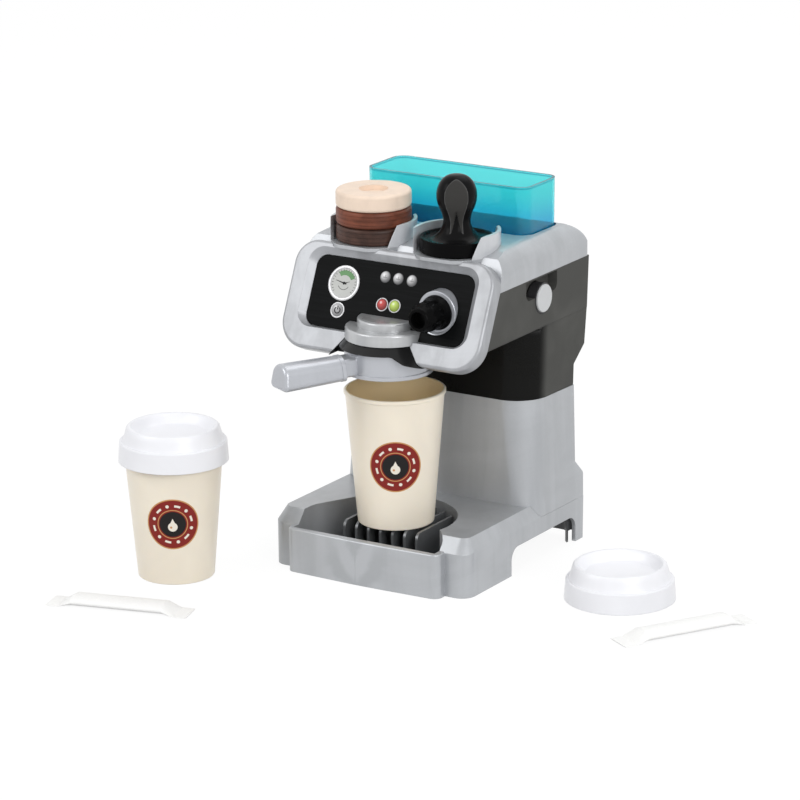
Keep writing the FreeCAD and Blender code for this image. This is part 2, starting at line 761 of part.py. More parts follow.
def button_housing():
    """The walls behind the pocket and the guide, with a seat for the return spring."""
    deep = HEAD_HALF - POCKET_DEEP - WALL
    pocket = side_prism([(POCKET_FRONT - WALL, POCKET_LOW - WALL, POCKET_ROUND),
                         (POCKET_REAR + WALL, POCKET_LOW - WALL, POCKET_ROUND),
                         (POCKET_REAR + WALL, HEAD_SEAM, 0), (POCKET_FRONT - WALL, HEAD_SEAM, 0)],
                        deep, HEAD_HALF)
    guide = Part.makeCylinder(BUTTON_R + FIT_GAP + WALL, GUIDE_DEEP + WALL,
                              Vector(HEAD_HALF - GUIDE_DEEP - WALL, BUTTON_Y, BUTTON_Z),
                              Vector(1, 0, 0))
    return pocket.fuse(guide)


def neck_cove():
    """The concave curve between the neck's front and the floor of the head."""
    half = COLUMN_TOP_HALF_FRONT + HEAD_HALF - COLUMN_TOP_HALF_REAR
    middle = half - COLUMN_TOP_CORNER
    sweep = HEAD_NECK_ROUND
    low = HEAD_FLOOR - sweep
    front = COLUMN_TOP_FRONT - sweep
    block = rounded_box(half + sweep, front, COLUMN_TOP_FRONT + COLUMN_TOP_CORNER,
                        COLUMN_TOP_CORNER + sweep, low, HEAD_FLOOR)
    ring = Part.makeTorus(COLUMN_TOP_CORNER + sweep, sweep)
    for side in (-1, 1):
        ring.Placement.Base = Vector(side * middle, COLUMN_TOP_FRONT + COLUMN_TOP_CORNER, low)
        block = block.cut(ring)
    rod = Part.makeCylinder(sweep, 2 * middle, Vector(-middle, front, low), Vector(1, 0, 0))
    block = block.cut(rod)
    return block.common(box(-HEAD_HALF, HEAD_HALF, -FAR, COLUMN_TOP_FRONT + COLUMN_TOP_CORNER, 0, FAR))


def middle_housing():
    form = neck_form(0).fuse(head_form(0)).fuse(neck_cove()).removeSplitter()
    hollow = neck_form(WALL).fuse(head_form(WALL))
    throat = column_form(WALL).BoundBox
    hollow = hollow.fuse(box(-FLANGE_HALF_OPEN, FLANGE_HALF_OPEN, COLUMN_TOP_CORNER,
                             throat.YMax - WALL, COLUMN_TOP - 1, COLUMN_TOP + 2 * WALL))
    shell = form.cut(hollow)
    plate = neck_form(WALL).common(box(-FAR, FAR, -FAR, FAR, COLUMN_TOP, COLUMN_TOP + WALL))
    window = COLUMN_TOP_HALF_FRONT - COLUMN_TOP_CORNER
    plate = plate.cut(rounded_box(window, COLUMN_TOP_CORNER, BASE_REAR - 4 * WALL, WALL, 0, FAR))
    shell = shell.fuse(plate)
    posts = bosses(seam_screw_heads(), UP, WALL, WALL + SCREW_LENGTH)
    shell = shell.multiFuse(posts).cut(holes(seam_screw_heads(), UP, SCREW_LENGTH))
    flange = prism(rectangle(HEAD_HALF - WALL, 0, LABEL_TALL, 0), -BEZEL_BACK - WALL, -BEZEL_BACK)
    flange = flange.cut(rounded_box(FLANGE_HALF_OPEN + 4, -1, LABEL_TALL + 1, 0.5, -FAR, FAR))
    flange = on_panel(flange).common(head_form(0))
    shell = shell.fuse(flange).cut(bezel_screw_holes())
    ledges = []
    for head in top_screw_heads():
        side = math.copysign(1, head.x)
        inner = head.x - side * BOSS_R
        outer = side * (HEAD_HALF - WALL / 2)
        ledges.append(box(min(inner, outer), max(inner, outer), head.y - BOSS_R, head.y + BOSS_R,
                          head.z, head.z + WALL))
    shell = shell.multiFuse(ledges).cut(holes(top_screw_heads(), UP, SCREW_LENGTH))
    shell = shell.fuse(button_housing()).cut(button_pocket())
    seat = Vector(HEAD_HALF - GUIDE_DEEP - WALL - 1, BUTTON_Y, BUTTON_Z)
    shell = shell.cut(Part.makeCylinder(BUTTON_STEM_R + FIT_GAP, 2 * WALL, seat, Vector(1, 0, 0)))
    frame = head_cover_block(WALL).cut(head_cover_block(-3 * WALL))
    ledge = neck_form(WALL).fuse(head_form(WALL))
    ledge = ledge.cut(neck_form(2 * WALL).fuse(head_form(2 * WALL))).common(frame)
    shell = shell.fuse(ledge)
    rim = neck_form(0).fuse(head_form(0)).cut(neck_form(WALL).fuse(head_form(WALL)))
    shell = shell.cut(rim.common(head_cover_block(FIT_GAP)))
    tabs = bosses(head_cover_heads(), Vector(0, -1, 0), WALL + 1, SCREW_LENGTH)
    shell = shell.multiFuse(tabs).cut(holes(head_cover_heads(), Vector(0, -1, 0), SCREW_LENGTH))
    pads = [cylinder(BOSS_R, head.x, head.y, HEAD_FLOOR, head.z) for head in group_screw_heads()]
    shell = shell.multiFuse(pads).cut(holes(group_screw_heads(), Vector(0, 0, -1), SCREW_LENGTH))
    return shell.removeSplitter()


def head_rear_cover():
    rim = neck_form(0).fuse(head_form(0)).cut(neck_form(WALL).fuse(head_form(WALL)))
    cover = rim.common(head_cover_block(0))
    seats = [Part.makeCylinder(SCREW_HEAD_R + FIT_GAP, FAR, head, Vector(0, 1, 0))
             for head in head_cover_heads()]
    cover = cover.cut(holes(head_cover_heads(), Vector(0, -1, 0), SCREW_LENGTH))
    return cover.cut(Part.makeCompound(seats))


# Top cover with its holders and tank well

def holder_form(side, gap):
    """The wall of one round holder, cut away at its front and low at its rear."""
    x = side * HOLDER_X
    wall = cylinder(HOLDER_R + HOLDER_WALL + gap, x, HOLDER_Y, HOLDER_FLOOR, HOLDER_TOP)
    half = HOLDER_FRONT_HALF - gap
    spread = half + HOLDER_FRONT_SLANT
    mouth = front_prism([(x - half, HOLDER_FLOOR, 0), (x + half, HOLDER_FLOOR, 0),
                         (x + spread, HOLDER_TOP, 0), (x + spread, HOLDER_TOP + 1, 0),
                         (x - spread, HOLDER_TOP + 1, 0), (x - spread, HOLDER_TOP, 0)],
                        HOLDER_Y - 2 * HOLDER_R, HOLDER_Y)
    back = front_prism([(x - HOLDER_REAR_HALF, HOLDER_REAR_Z, 2), (x + HOLDER_REAR_HALF, HOLDER_REAR_Z, 2),
                        (x + HOLDER_REAR_HALF + 4, HOLDER_TOP + 1, 0),
                        (x - HOLDER_REAR_HALF - 4, HOLDER_TOP + 1, 0)],
                       HOLDER_Y, HOLDER_Y + 2 * HOLDER_R)
    return wall.cut(mouth).cut(back)


def holder_pegs(side, gap):
    """Three pegs under the wall, pressed flat below the cover's floor."""
    reach = HOLDER_R + HOLDER_WALL / 2
    pegs = []
    for degrees in HOLDER_PEG_DEG:
        x = side * HOLDER_X + reach * math.cos(math.radians(degrees))
        y = HOLDER_Y + reach * math.sin(math.radians(degrees))
        pegs.append(cylinder(HOLDER_PEG_R + gap, x, y, HOLDER_FLOOR - WALL - HOLDER_PEG_OUT, HOLDER_FLOOR))
    return pegs


def holder(side):
    bore = cylinder(HOLDER_R, side * HOLDER_X, HOLDER_Y, HOLDER_FLOOR, FAR)
    wall = holder_form(side, 0).cut(bore).multiFuse(holder_pegs(side, 0))
    return wall.removeSplitter()


def holder_bores(grow, floor):
    return [cylinder(HOLDER_R + grow, side * HOLDER_X, HOLDER_Y, floor, FAR) for side in (-1, 1)]


def tank_plan(grow, shrink):
    half = TANK_HALF + grow - shrink
    return rectangle(half, TANK_FRONT - grow + shrink, TANK_REAR + grow - shrink, TANK_CORNER + grow - shrink)


def top_cover():
    cover = top_form(0).cut(top_form(WALL))
    well_foot = TANK_FOOT - SEAT_GAP - WALL
    well = prism(tank_plan(SLIDE_GAP + WALL, 0), well_foot, DECK_MID_Z - WALL / 2)
    below = box(-FAR, FAR, -FAR, FAR, 0, HEAD_SEAM)
    cover = cover.fuse(well.common(top_form(0).fuse(below)))
    for side in (-1, 1):
        floor = [cylinder(HOLDER_R + HOLDER_WALL + more, side * HOLDER_X, HOLDER_Y,
                          HOLDER_FLOOR - WALL, HOLDER_FLOOR) for more in (0, WALL)]
        cover = cover.fuse(floor[0]).fuse(floor[1].common(top_form(0)))
        cover = cover.cut(holder_form(side, SEAT_GAP)).cut(Part.makeCompound(holder_pegs(side, SHAFT_GAP)))
    cover = cover.cut(Part.makeCompound(holder_bores(0, HOLDER_FLOOR)))
    cover = cover.cut(prism(tank_plan(SLIDE_GAP, 0), TANK_FOOT - SEAT_GAP, FAR))
    reach = 2 * (HOLDER_R + HOLDER_WALL)
    cover = cover.cut(box(-FAR, FAR, HOLDER_LIP_FRONT - reach, HOLDER_LIP_FRONT, 0, FAR))
    posts = bosses(top_screw_heads(), UP, WALL, DECK_MID_Z - HEAD_SEAM)
    posts = Part.makeCompound(posts).common(top_form(WALL / 2).fuse(
        box(-HEAD_HALF + WALL, HEAD_HALF - WALL, -FAR, HEAD_REAR_TOP_Y - 2 * WALL, 0, HEAD_SEAM)))
    cover = cover.fuse(posts).cut(holes(top_screw_heads(), UP, SCREW_LENGTH))
    return cover.removeSplitter()


# Front bezel and label

def bezel_plan(shrink):
    return [(-BEZEL_HALF + shrink, -BEZEL_BELOW + shrink, BEZEL_LOW_ROUND - shrink),
            (BEZEL_HALF - shrink, -BEZEL_BELOW + shrink, BEZEL_LOW_ROUND - shrink),
            (BEZEL_HALF - shrink, BEZEL_ABOVE - shrink, BEZEL_TOP_ROUND - shrink),
            (-BEZEL_HALF + shrink, BEZEL_ABOVE - shrink, BEZEL_TOP_ROUND - shrink)]


def label_plan(grow, foot_grow):
    corner = LABEL_CORNER + (grow + foot_grow) / 2
    half = LABEL_HALF + grow
    return [(-half, -foot_grow, corner), (half, -foot_grow, corner),
            (half, LABEL_TALL + grow, corner), (-half, LABEL_TALL + grow, corner)]


def group_envelope(gap):
    """The space that the group cap and the bayonet ring take in the bezel and the label."""
    cap = turned([(0, HEAD_FLOOR), (CAP_LOW_R + gap, HEAD_FLOOR), (CAP_LOW_R + gap, CAP_STEP_Z + gap),
                  (CAP_HIGH_R + gap, CAP_STEP_Z + gap), (CAP_HIGH_R + gap, CAP_TOP_Z + gap),
                  (0, CAP_TOP_Z + gap)], 0, GROUP_Y)
    slope = (RING_FOOT_R - RING_TOP_R) / (HEAD_FLOOR - RING_FOOT_Z)
    drop = 4 * WALL
    ring = turned([(0, RING_FOOT_Z - drop), (RING_FOOT_R + gap + slope * drop, RING_FOOT_Z - drop),
                   (RING_TOP_R + gap, HEAD_FLOOR), (0, HEAD_FLOOR)], 0, GROUP_Y)
    return cap.fuse(ring)


def knob_passage(gap):
    return Part.makeCylinder(KNOB_RING_R + gap, FAR, Vector(KNOB_X, -FAR / 2, KNOB_Z), Vector(0, 1, 0))


def front_bezel():
    plate = prism(bezel_plan(0), -BEZEL_BACK, BEZEL_PROUD)
    plate = round_edges(plate, BEZEL_EDGE, at_height(BEZEL_PROUD))
    recess = prism(label_plan(FIT_GAP, FIT_GAP), -LABEL_THICK, BEZEL_PROUD)
    dish = loft(label_plan(FIT_GAP, FIT_GAP), 0, label_plan(BEZEL_SIDE_SLOPE, BEZEL_FOOT_SLOPE), BEZEL_PROUD)
    plate = plate.cut(recess).cut(dish)
    bezel = on_panel(plate).cut(group_envelope(FIT_GAP)).cut(knob_passage(FIT_GAP))
    lips = Part.makeCompound(holder_bores(HOLDER_WALL + SEAT_GAP, HOLDER_FLOOR - WALL - SEAT_GAP))
    bezel = bezel.cut(lips).cut(bezel_screw_holes())
    return bezel.removeSplitter()


def control_label():
    plate = on_panel(prism(label_plan(0, 0), -LABEL_THICK, 0))
    return plate.cut(group_envelope(FIT_GAP)).cut(knob_passage(FIT_GAP))


# Group head

def group_cap():
    cap = turned([(0, HEAD_FLOOR), (CAP_LOW_R, HEAD_FLOOR), (CAP_LOW_R, CAP_STEP_Z),
                  (CAP_HIGH_R, CAP_STEP_Z), (CAP_HIGH_R, CAP_TOP_Z), (0, CAP_TOP_Z)], 0, GROUP_Y)

    def shoulder(edge):
        return at_height(CAP_TOP_Z)(edge) or (at_height(CAP_STEP_Z)(edge)
                                              and edge.BoundBox.XMax > CAP_HIGH_R + 1)
    cap = round_edges(cap, CAP_ROUND, shoulder)
    front = prism(rectangle(FAR, -FAR, FAR, 0), -BEZEL_BACK, FAR)
    return cap.common(on_panel(front))


def ring_notch():
    """The front of the skirt is cut away and comes down in a soft step on its right side."""
    low = RING_FOOT_Z - 1
    wide = RING_NOTCH_LEFT - RING_NOTCH_FLARE
    shelf = RING_NOTCH_RIGHT + RING_NOTCH_RUN
    return front_prism([(wide, low, 0), (RING_NOTCH_END, low, 0), (RING_NOTCH_END, RING_FOOT_Z, 0),
                        (shelf, RING_SHELF_Z, 6), (RING_NOTCH_RIGHT, RING_CEILING, 6),
                        (RING_NOTCH_LEFT, RING_CEILING, 3), (wide, RING_SHELF_Z, 1)],
                       GROUP_Y - 2 * RING_FOOT_R, GROUP_Y - 8)


def bayonet_ring():
    skirt = turned([(0, RING_FOOT_Z), (RING_FOOT_R, RING_FOOT_Z), (RING_TOP_R, HEAD_FLOOR - SEAT_GAP),
                    (0, HEAD_FLOOR - SEAT_GAP)], 0, GROUP_Y)
    bore = BOWL_R + 2 * FIT_GAP
    groove = BOWL_R + LUG_OUT + FIT_GAP
    skirt = skirt.cut(cylinder(bore, 0, GROUP_Y, RING_FOOT_Z - 1, RING_CEILING))
    skirt = skirt.cut(cylinder(groove, 0, GROUP_Y, LUG_LOW - FIT_GAP, LUG_HIGH + FIT_GAP))
    entry = lug_sector(groove, RING_FOOT_Z - 1, LUG_HIGH + FIT_GAP, LUG_HALF_DEG + 2)
    skirt = skirt.cut(place_filter(entry, -FILTER_UNLOCK))
    skirt = skirt.cut(ring_notch())
    skirt = skirt.cut(holes(group_screw_heads(), Vector(0, 0, -1), SCREW_LENGTH))
    return skirt.removeSplitter()


# Portafilter, drawn straight ahead and then turned

def place_filter(shape, extra=0.0):
    placed = shape.copy()
    placed.rotate(ZERO, UP, -FILTER_TURN + extra)
    placed.translate(Vector(0, GROUP_Y, 0))
    return placed


def lug_sector(radius, z0, z1, half_deg):
    """Two opposite wedges at the sides of the bowl."""
    wedges = []
    for start in (-half_deg, 180 - half_deg):
        wedge = Part.makeCylinder(radius, z1 - z0, Vector(0, 0, z0), UP, 2 * half_deg)
        wedge.rotate(ZERO, UP, start)
        wedges.append(wedge)
    return wedges[0].fuse(wedges[1])


def section(wide, tall, corner):
    return [(-wide / 2, -tall / 2, corner), (wide / 2, -tall / 2, corner),
            (wide / 2, tall / 2, corner), (-wide / 2, tall / 2, corner)]


def grip_section(wide, tall):
    """The grip is wider at its foot than at its top; drawn with its top toward +Y."""
    top = wide / 2 - HANDLE_TAPER
    return [(-wide / 2, -tall / 2, HANDLE_FOOT_ROUND), (wide / 2, -tall / 2, HANDLE_FOOT_ROUND),
            (top, tall / 2, HANDLE_TOP_ROUND), (-top, tall / 2, HANDLE_TOP_ROUND)]


def along_handle(shape):
    """Turn a shape drawn upward along Z so that it runs forward at handle height."""
    placed = shape.copy()
    placed.rotate(ZERO, Vector(1, 0, 0), 90)
    placed.translate(Vector(0, 0, HANDLE_Z))
    return placed


def portafilter_bowl():
    bowl = cylinder(BOWL_R, 0, 0, BOWL_FOOT, BOWL_TOP)
    bowl = bowl.fuse(cylinder(BOWL_R + BOWL_RIM, 0, 0, BOWL_FOOT, BOWL_FOOT + BOWL_FLOOR))
    neck = along_handle(prism(section(NECK_WIDE, NECK_TALL, 2), BOWL_R - BOWL_WALL, HANDLE_START))
    bowl = bowl.fuse(neck)
    bowl = bowl.fuse(lug_sector(BOWL_R + LUG_OUT, LUG_LOW, LUG_HIGH, LUG_HALF_DEG))
    bowl = bowl.cut(cylinder(BOWL_R - BOWL_WALL, 0, 0, BOWL_FOOT + BOWL_FLOOR, BOWL_TOP + 1))
    screw_way = along_handle(cylinder(SCREW_R, 0, 0, 0, HANDLE_START + 1))
    head_way = along_handle(cylinder(SCREW_HEAD_R, 0, 0, 0, BOWL_R - BOWL_WALL + SCREW_HEAD_H))
    bowl = bowl.cut(screw_way).cut(head_way)
    spouts = [cylinder(SPOUT_R, side * SPOUT_X, 0, 0, FAR) for side in (-1, 1)]
    return place_filter(bowl.cut(Part.makeCompound(spouts)).removeSplitter())


def handle_shank_end():
    return BOWL_R - BOWL_WALL + SCREW_HEAD_H + 2.4 * SCREW_LENGTH


def portafilter_collar():
    wide = HANDLE_START_WIDE + 2 * COLLAR_PROUD
    tall = HANDLE_START_TALL + 2 * COLLAR_PROUD
    ring = prism(grip_section(wide, tall), HANDLE_START, HANDLE_START + COLLAR_LONG)
    ring = ring.cut(cylinder(SCREW_R, 0, 0, 0, FAR))
    return place_filter(along_handle(ring))


def portafilter_handle():
    start = HANDLE_START + COLLAR_LONG
    reach = HANDLE_END + HANDLE_END_WIDE / 2
    grip = loft(grip_section(HANDLE_START_WIDE, HANDLE_START_TALL), start,
                grip_section(HANDLE_END_WIDE, HANDLE_END_TALL), reach)
    beyond = Part.makeBox(FAR, FAR, FAR, Vector(-FAR / 2, -FAR / 2, 0))
    beyond.rotate(ZERO, Vector(1, 0, 0), -HANDLE_END_LEAN)
    beyond.translate(Vector(0, 0, HANDLE_END))
    grip = grip.cut(beyond)

    def end_face(edge):
        return edge.BoundBox.ZMin > HANDLE_END - HANDLE_END_TALL / 2
    grip = round_edges(grip, HANDLE_END_ROUND, end_face)
    grip = grip.cut(cylinder(SCREW_R, 0, 0, 0, handle_shank_end()))
    return place_filter(along_handle(grip))


def handle_screw():
    seat = BOWL_R - BOWL_WALL + SCREW_HEAD_H
    part = cylinder(SCREW_R, 0, 0, seat, handle_shank_end())
    part = part.fuse(cylinder(SCREW_HEAD_R, 0, 0, seat - SCREW_HEAD_H, seat))
    return place_filter(along_handle(part.removeSplitter()))


# Control knob

def knob_collar():
    """The silver collar round the knob; its thin rim ends flush with the leaning label."""
    inner = KNOB_RING_R - KNOB_RING_WALL
    bore = SPINDLE_R + SHAFT_GAP
    face = KNOB_FACE_Y
    collar = turned_along([(bore, face), (inner + 0.4, face), (inner + 0.4, face - 0.01),
                           (KNOB_RING_R - 0.4, face - 0.01), (KNOB_RING_R, face + 0.4),
                           (KNOB_RING_R, KNOB_RING_BACK), (inner - WALL, KNOB_RING_BACK),
                           (inner - WALL, face + WALL), (bore + WALL, face + WALL),
                           (bore + WALL, KNOB_RING_BACK), (bore, KNOB_RING_BACK)], KNOB_X, KNOB_Z)
    rim = Part.makeCylinder(KNOB_RING_R, FAR, Vector(KNOB_X, -FAR, KNOB_Z), Vector(0, 1, 0))
    rim = rim.cut(Part.makeCylinder(inner, FAR, Vector(KNOB_X, -FAR, KNOB_Z), Vector(0, 1, 0)))
    rim = rim.common(box(-FAR, FAR, -FAR, KNOB_RING_BACK, 0, FAR))
    behind_label = on_panel(prism(rectangle(FAR, -FAR, FAR, 0), -FAR, 0))
    return collar.fuse(rim.common(behind_label)).removeSplitter()


def knob_back():
    """The y of the knob's back face."""
    return KNOB_FACE_Y - FIT_GAP


def control_knob():
    back = knob_back()
    waist = KNOB_END_Y + 2.4
    knob = turned_along([(0, back), (KNOB_FOOT_R, back), (KNOB_FOOT_R - 0.2, back - 1.4),
                         (KNOB_BODY_R + 0.5, back - 4.0), (KNOB_BODY_R, back - 7.5),
                         (KNOB_BODY_R, waist + 5.0), (KNOB_NOSE_R + 0.4, waist),
                         (KNOB_NOSE_R, KNOB_END_Y + 0.7), (KNOB_NOSE_R - 0.6, KNOB_END_Y),
                         (0, KNOB_END_Y)], KNOB_X, KNOB_Z)
    for i in range(KNOB_FLUTES):
        angle = math.radians(360 / KNOB_FLUTES * (i + 0.5))
        reach = KNOB_BODY_R + KNOB_FLUTE_R * 0.72
        start = Vector(KNOB_X + reach * math.cos(angle), KNOB_END_Y - 1, KNOB_Z + reach * math.sin(angle))
        knob = knob.cut(Part.makeCylinder(KNOB_FLUTE_R, back - 5.0 - KNOB_END_Y, start, Vector(0, 1, 0)))
    socket = Part.makeCylinder(KNOB_SOCKET_R, KNOB_SOCKET_DEEP, Vector(KNOB_X, KNOB_END_Y, KNOB_Z),
                               Vector(0, 1, 0))
    shaft_way = Part.makeCylinder(SPINDLE_R, KNOB_SHAFT_DEEP, Vector(KNOB_X, back, KNOB_Z),
                                  Vector(0, -1, 0))
    return knob.cut(socket).cut(shaft_way)


def knob_spindle():
    front = knob_back() - KNOB_SHAFT_DEEP
    shaft = Part.makeCylinder(SPINDLE_R, SPINDLE_BACK - front, Vector(KNOB_X, front, KNOB_Z),
                              Vector(0, 1, 0))
    return shaft.cut(Part.makeCylinder(SCREW_R, SCREW_LENGTH, Vector(KNOB_X, SPINDLE_BACK, KNOB_Z),
                                       Vector(0, -1, 0)))


def click_wheel():
    """The notched wheel behind the collar that gives the knob its clicks."""
    y = KNOB_RING_BACK + FIT_GAP
    wheel = Part.makeCylinder(WHEEL_R, WHEEL_THICK, Vector(KNOB_X, y, KNOB_Z), Vector(0, 1, 0))
    wheel = wheel.cut(Part.makeCylinder(SPINDLE_R, WHEEL_THICK, Vector(KNOB_X, y, KNOB_Z), Vector(0, 1, 0)))
    for i in range(WHEEL_TEETH):
        angle = math.radians(360 / WHEEL_TEETH * i)
        spot = Vector(KNOB_X + WHEEL_R * math.cos(angle), y, KNOB_Z + WHEEL_R * math.sin(angle))
        wheel = wheel.cut(Part.makeCylinder(WHEEL_NOTCH_R, WHEEL_THICK, spot, Vector(0, 1, 0)))
    return wheel


def knob_screw():
    return screw(Vector(KNOB_X, SPINDLE_BACK, KNOB_Z), Vector(0, -1, 0))


def click_spring():
    """A bent strip under the wheel, whose foot stands on the back of the collar."""
    y = KNOB_RING_BACK
    top = KNOB_Z - WHEEL_R - FIT_GAP
    strip = box(KNOB_X - WHEEL_R, KNOB_X + WHEEL_R, y + FIT_GAP, y + FIT_GAP + WHEEL_THICK,
                top - CLICK_STRIP, top)
    foot = box(KNOB_X - WHEEL_R / 3, KNOB_X + WHEEL_R / 3, y, y + FIT_GAP + WHEEL_THICK,
               KNOB_Z - KNOB_RING_R + KNOB_RING_WALL, top)
    return strip.fuse(foot).removeSplitter()


# Side button

def side_button():
    outer = BUTTON_OUT - BUTTON_CAP_THICK
    axis = Vector(-1, 0, 0)
    body = Part.makeCylinder(BUTTON_R, BUTTON_BODY, Vector(outer, BUTTON_Y, BUTTON_Z), axis)
    stem = Part.makeCylinder(BUTTON_STEM_R, GUIDE_DEEP + WALL, Vector(outer, BUTTON_Y, BUTTON_Z), axis)
    return body.fuse(stem).removeSplitter()


def side_button_cap():
    start = Vector(BUTTON_OUT - BUTTON_CAP_THICK, BUTTON_Y, BUTTON_Z)
    cap = Part.makeCylinder(BUTTON_CAP_R, BUTTON_CAP_THICK, start, Vector(1, 0, 0))

    def outer_rim(edge):
        return abs(edge.BoundBox.XMin - BUTTON_OUT) < 1e-4
    return round_edges(cap, 0.6, outer_rim)


def button_spring():
    """The return spring, as the sleeve that its turns fill."""
    start = HEAD_HALF - GUIDE_DEEP
    length = BUTTON_OUT - BUTTON_CAP_THICK - BUTTON_BODY - start - 2 * SEAT_GAP
    spot = Vector(start + SEAT_GAP, BUTTON_Y, BUTTON_Z)
    sleeve = Part.makeCylinder(SPRING_R, length, spot, Vector(1, 0, 0))
    return sleeve.cut(Part.makeCylinder(SPRING_R - SPRING_WIRE, length, spot, Vector(1, 0, 0)))


# Water tank

def water_tank():
    tank = loft(tank_plan(0, TANK_DRAFT), TANK_FOOT, tank_plan(0, 0), TANK_TOP - TANK_RIM)
    rim = prism(tank_plan(0, 0), TANK_TOP - TANK_RIM, TANK_TOP)
    inside = loft(tank_plan(0, TANK_DRAFT + TANK_WALL), TANK_FOOT + TANK_WALL,
                  tank_plan(0, TANK_WALL), TANK_TOP + 0.01)
    return tank.fuse(rim).cut(inside).removeSplitter()


# Coffee discs and tamper

def coffee_disc(level, ridged):
    foot = HOLDER_FLOOR + SEAT_GAP + level * (DISC_THICK + SEAT_GAP)
    x = -HOLDER_X
    disc = cylinder(DISC_R, x, HOLDER_Y, foot, foot + DISC_THICK)
    disc = disc.makeFillet(DISC_EDGE, [edge for edge in disc.Edges
                                       if at_height(foot)(edge) or at_height(foot + DISC_THICK)(edge)])
    dimple = cylinder(DISC_DIMPLE_R, x, HOLDER_Y, foot + DISC_THICK - DISC_DIMPLE_DEEP, foot + DISC_THICK + 1)
    disc = disc.cut(dimple)
    if ridged:
        for i in range(DISC_GROOVES):
            z = foot + DISC_THICK * (i + 1) / (DISC_GROOVES + 1)
            groove = turned([(DISC_R - 0.35, z), (DISC_R + 1, z - 0.35), (DISC_R + 1, z + 0.35)], x, HOLDER_Y)
            disc = disc.cut(groove)
    return disc


def tamper_base():
    foot = HOLDER_FLOOR + SEAT_GAP
    top = foot + TAMPER_THICK
    return turned([(0, foot), (TAMPER_R - 0.8, foot), (TAMPER_R, foot + 0.8), (TAMPER_R, top - 0.6),
                   (TAMPER_R - 0.6, top), (TAMPER_R - 2.4, top), (TAMPER_R - 3.2, top - TAMPER_DISH),
                   (0, top - TAMPER_DISH)], HOLDER_X, HOLDER_Y)


def tamper_handle():
    """A round grip on a waist that flares to the base; the profile is a smooth curve."""
    foot = HOLDER_FLOOR + SEAT_GAP + TAMPER_THICK - TAMPER_DISH
    z0 = HOLDER_FLOOR
    flare = [Vector(TAMPER_R * 0.74, 0, foot), Vector(TAMPER_R * 0.5, 0, foot + 3.4),
             Vector(TAMPER_WAIST_R, 0, z0 + TAMPER_WAIST_Z),
             Vector(TAMPER_BULB_R * 0.93, 0, z0 + TAMPER_BULB_Z - 7),
             Vector(TAMPER_BULB_R, 0, z0 + TAMPER_BULB_Z),
             Vector(TAMPER_BULB_R * 0.78, 0, z0 + TAMPER_TOP_Z - 4.4),
             Vector(0, 0, z0 + TAMPER_TOP_Z)]
    curve = Part.BSplineCurve()
    curve.interpolate(flare)
    axis_low = Vector(0, 0, foot)
    edges = [Part.makeLine(axis_low, flare[0]), curve.toShape(), Part.makeLine(flare[-1], axis_low)]
    grip = Part.Face(Part.Wire(edges)).revolve(ZERO, UP, 360)
    grip.translate(Vector(HOLDER_X, HOLDER_Y, 0))
    return grip


# Cups, lids and sugar sticks

def paper_cup(x, y, foot):
    rise = (CUP_TOP_R - CUP_FOOT_R) / CUP_TALL
    floor = CUP_FOOT_DEEP + CUP_FLOOR
    bead = CUP_BEAD
    profile = [(0, CUP_FOOT_DEEP), (CUP_FOOT_R - 2 * CUP_WALL, CUP_FOOT_DEEP), (CUP_FOOT_R - 2 * CUP_WALL, 0),
               (CUP_FOOT_R - 0.4, 0), (CUP_FOOT_R, 0.5), (CUP_TOP_R - rise * 3, CUP_TALL - 3),
               (CUP_TOP_R + bead, CUP_TALL - 2.4), (CUP_TOP_R + bead, CUP_TALL - 0.6), (CUP_TOP_R, CUP_TALL),
               (CUP_TOP_R - CUP_WALL + 0.4, CUP_TALL), (CUP_TOP_R - CUP_WALL, CUP_TALL - 0.6),
               (CUP_FOOT_R - CUP_WALL + rise * floor, floor), (0, floor)]
    return turned([(r, z + foot) for r, z in profile], x, y)


def cup_lid(x, y, foot):
    """A stepped lid: a skirt, a shoulder, a raised ring and a dished middle."""
    step = LID_R - LID_STEP
    top = LID_TALL
    dish = top - LID_DISH_DEEP
    wall = LID_WALL
    profile = [(LID_R - wall, 0), (LID_R, 0), (LID_R - 1.0, LID_SKIRT - 0.8), (LID_R - 1.8, LID_SKIRT),
               (step - 0.6, LID_SKIRT), (step - 1, LID_SKIRT + 0.6), (LID_RIM_R + 0.8, top - 1.2),
               (LID_RIM_R - 0.4, top), (LID_RIM_R - 2.2, top), (LID_RIM_R - 3.2, top - 0.8),
               (LID_DISH_R + 0.8, dish + 0.8), (LID_DISH_R - 0.4, dish), (0, dish), (0, dish - wall),
               (LID_DISH_R + 0.4, dish - wall), (LID_DISH_R + 2.0, dish - wall + 0.8),
               (LID_RIM_R - 2.4, top - wall - 0.8), (LID_RIM_R - 0.6, top - wall - 0.6),
               (step - 1 - wall, LID_SEAT), (LID_R - 1.0 - wall, LID_SEAT)]
    return turned([(r, z + foot) for r, z in profile], x, y)


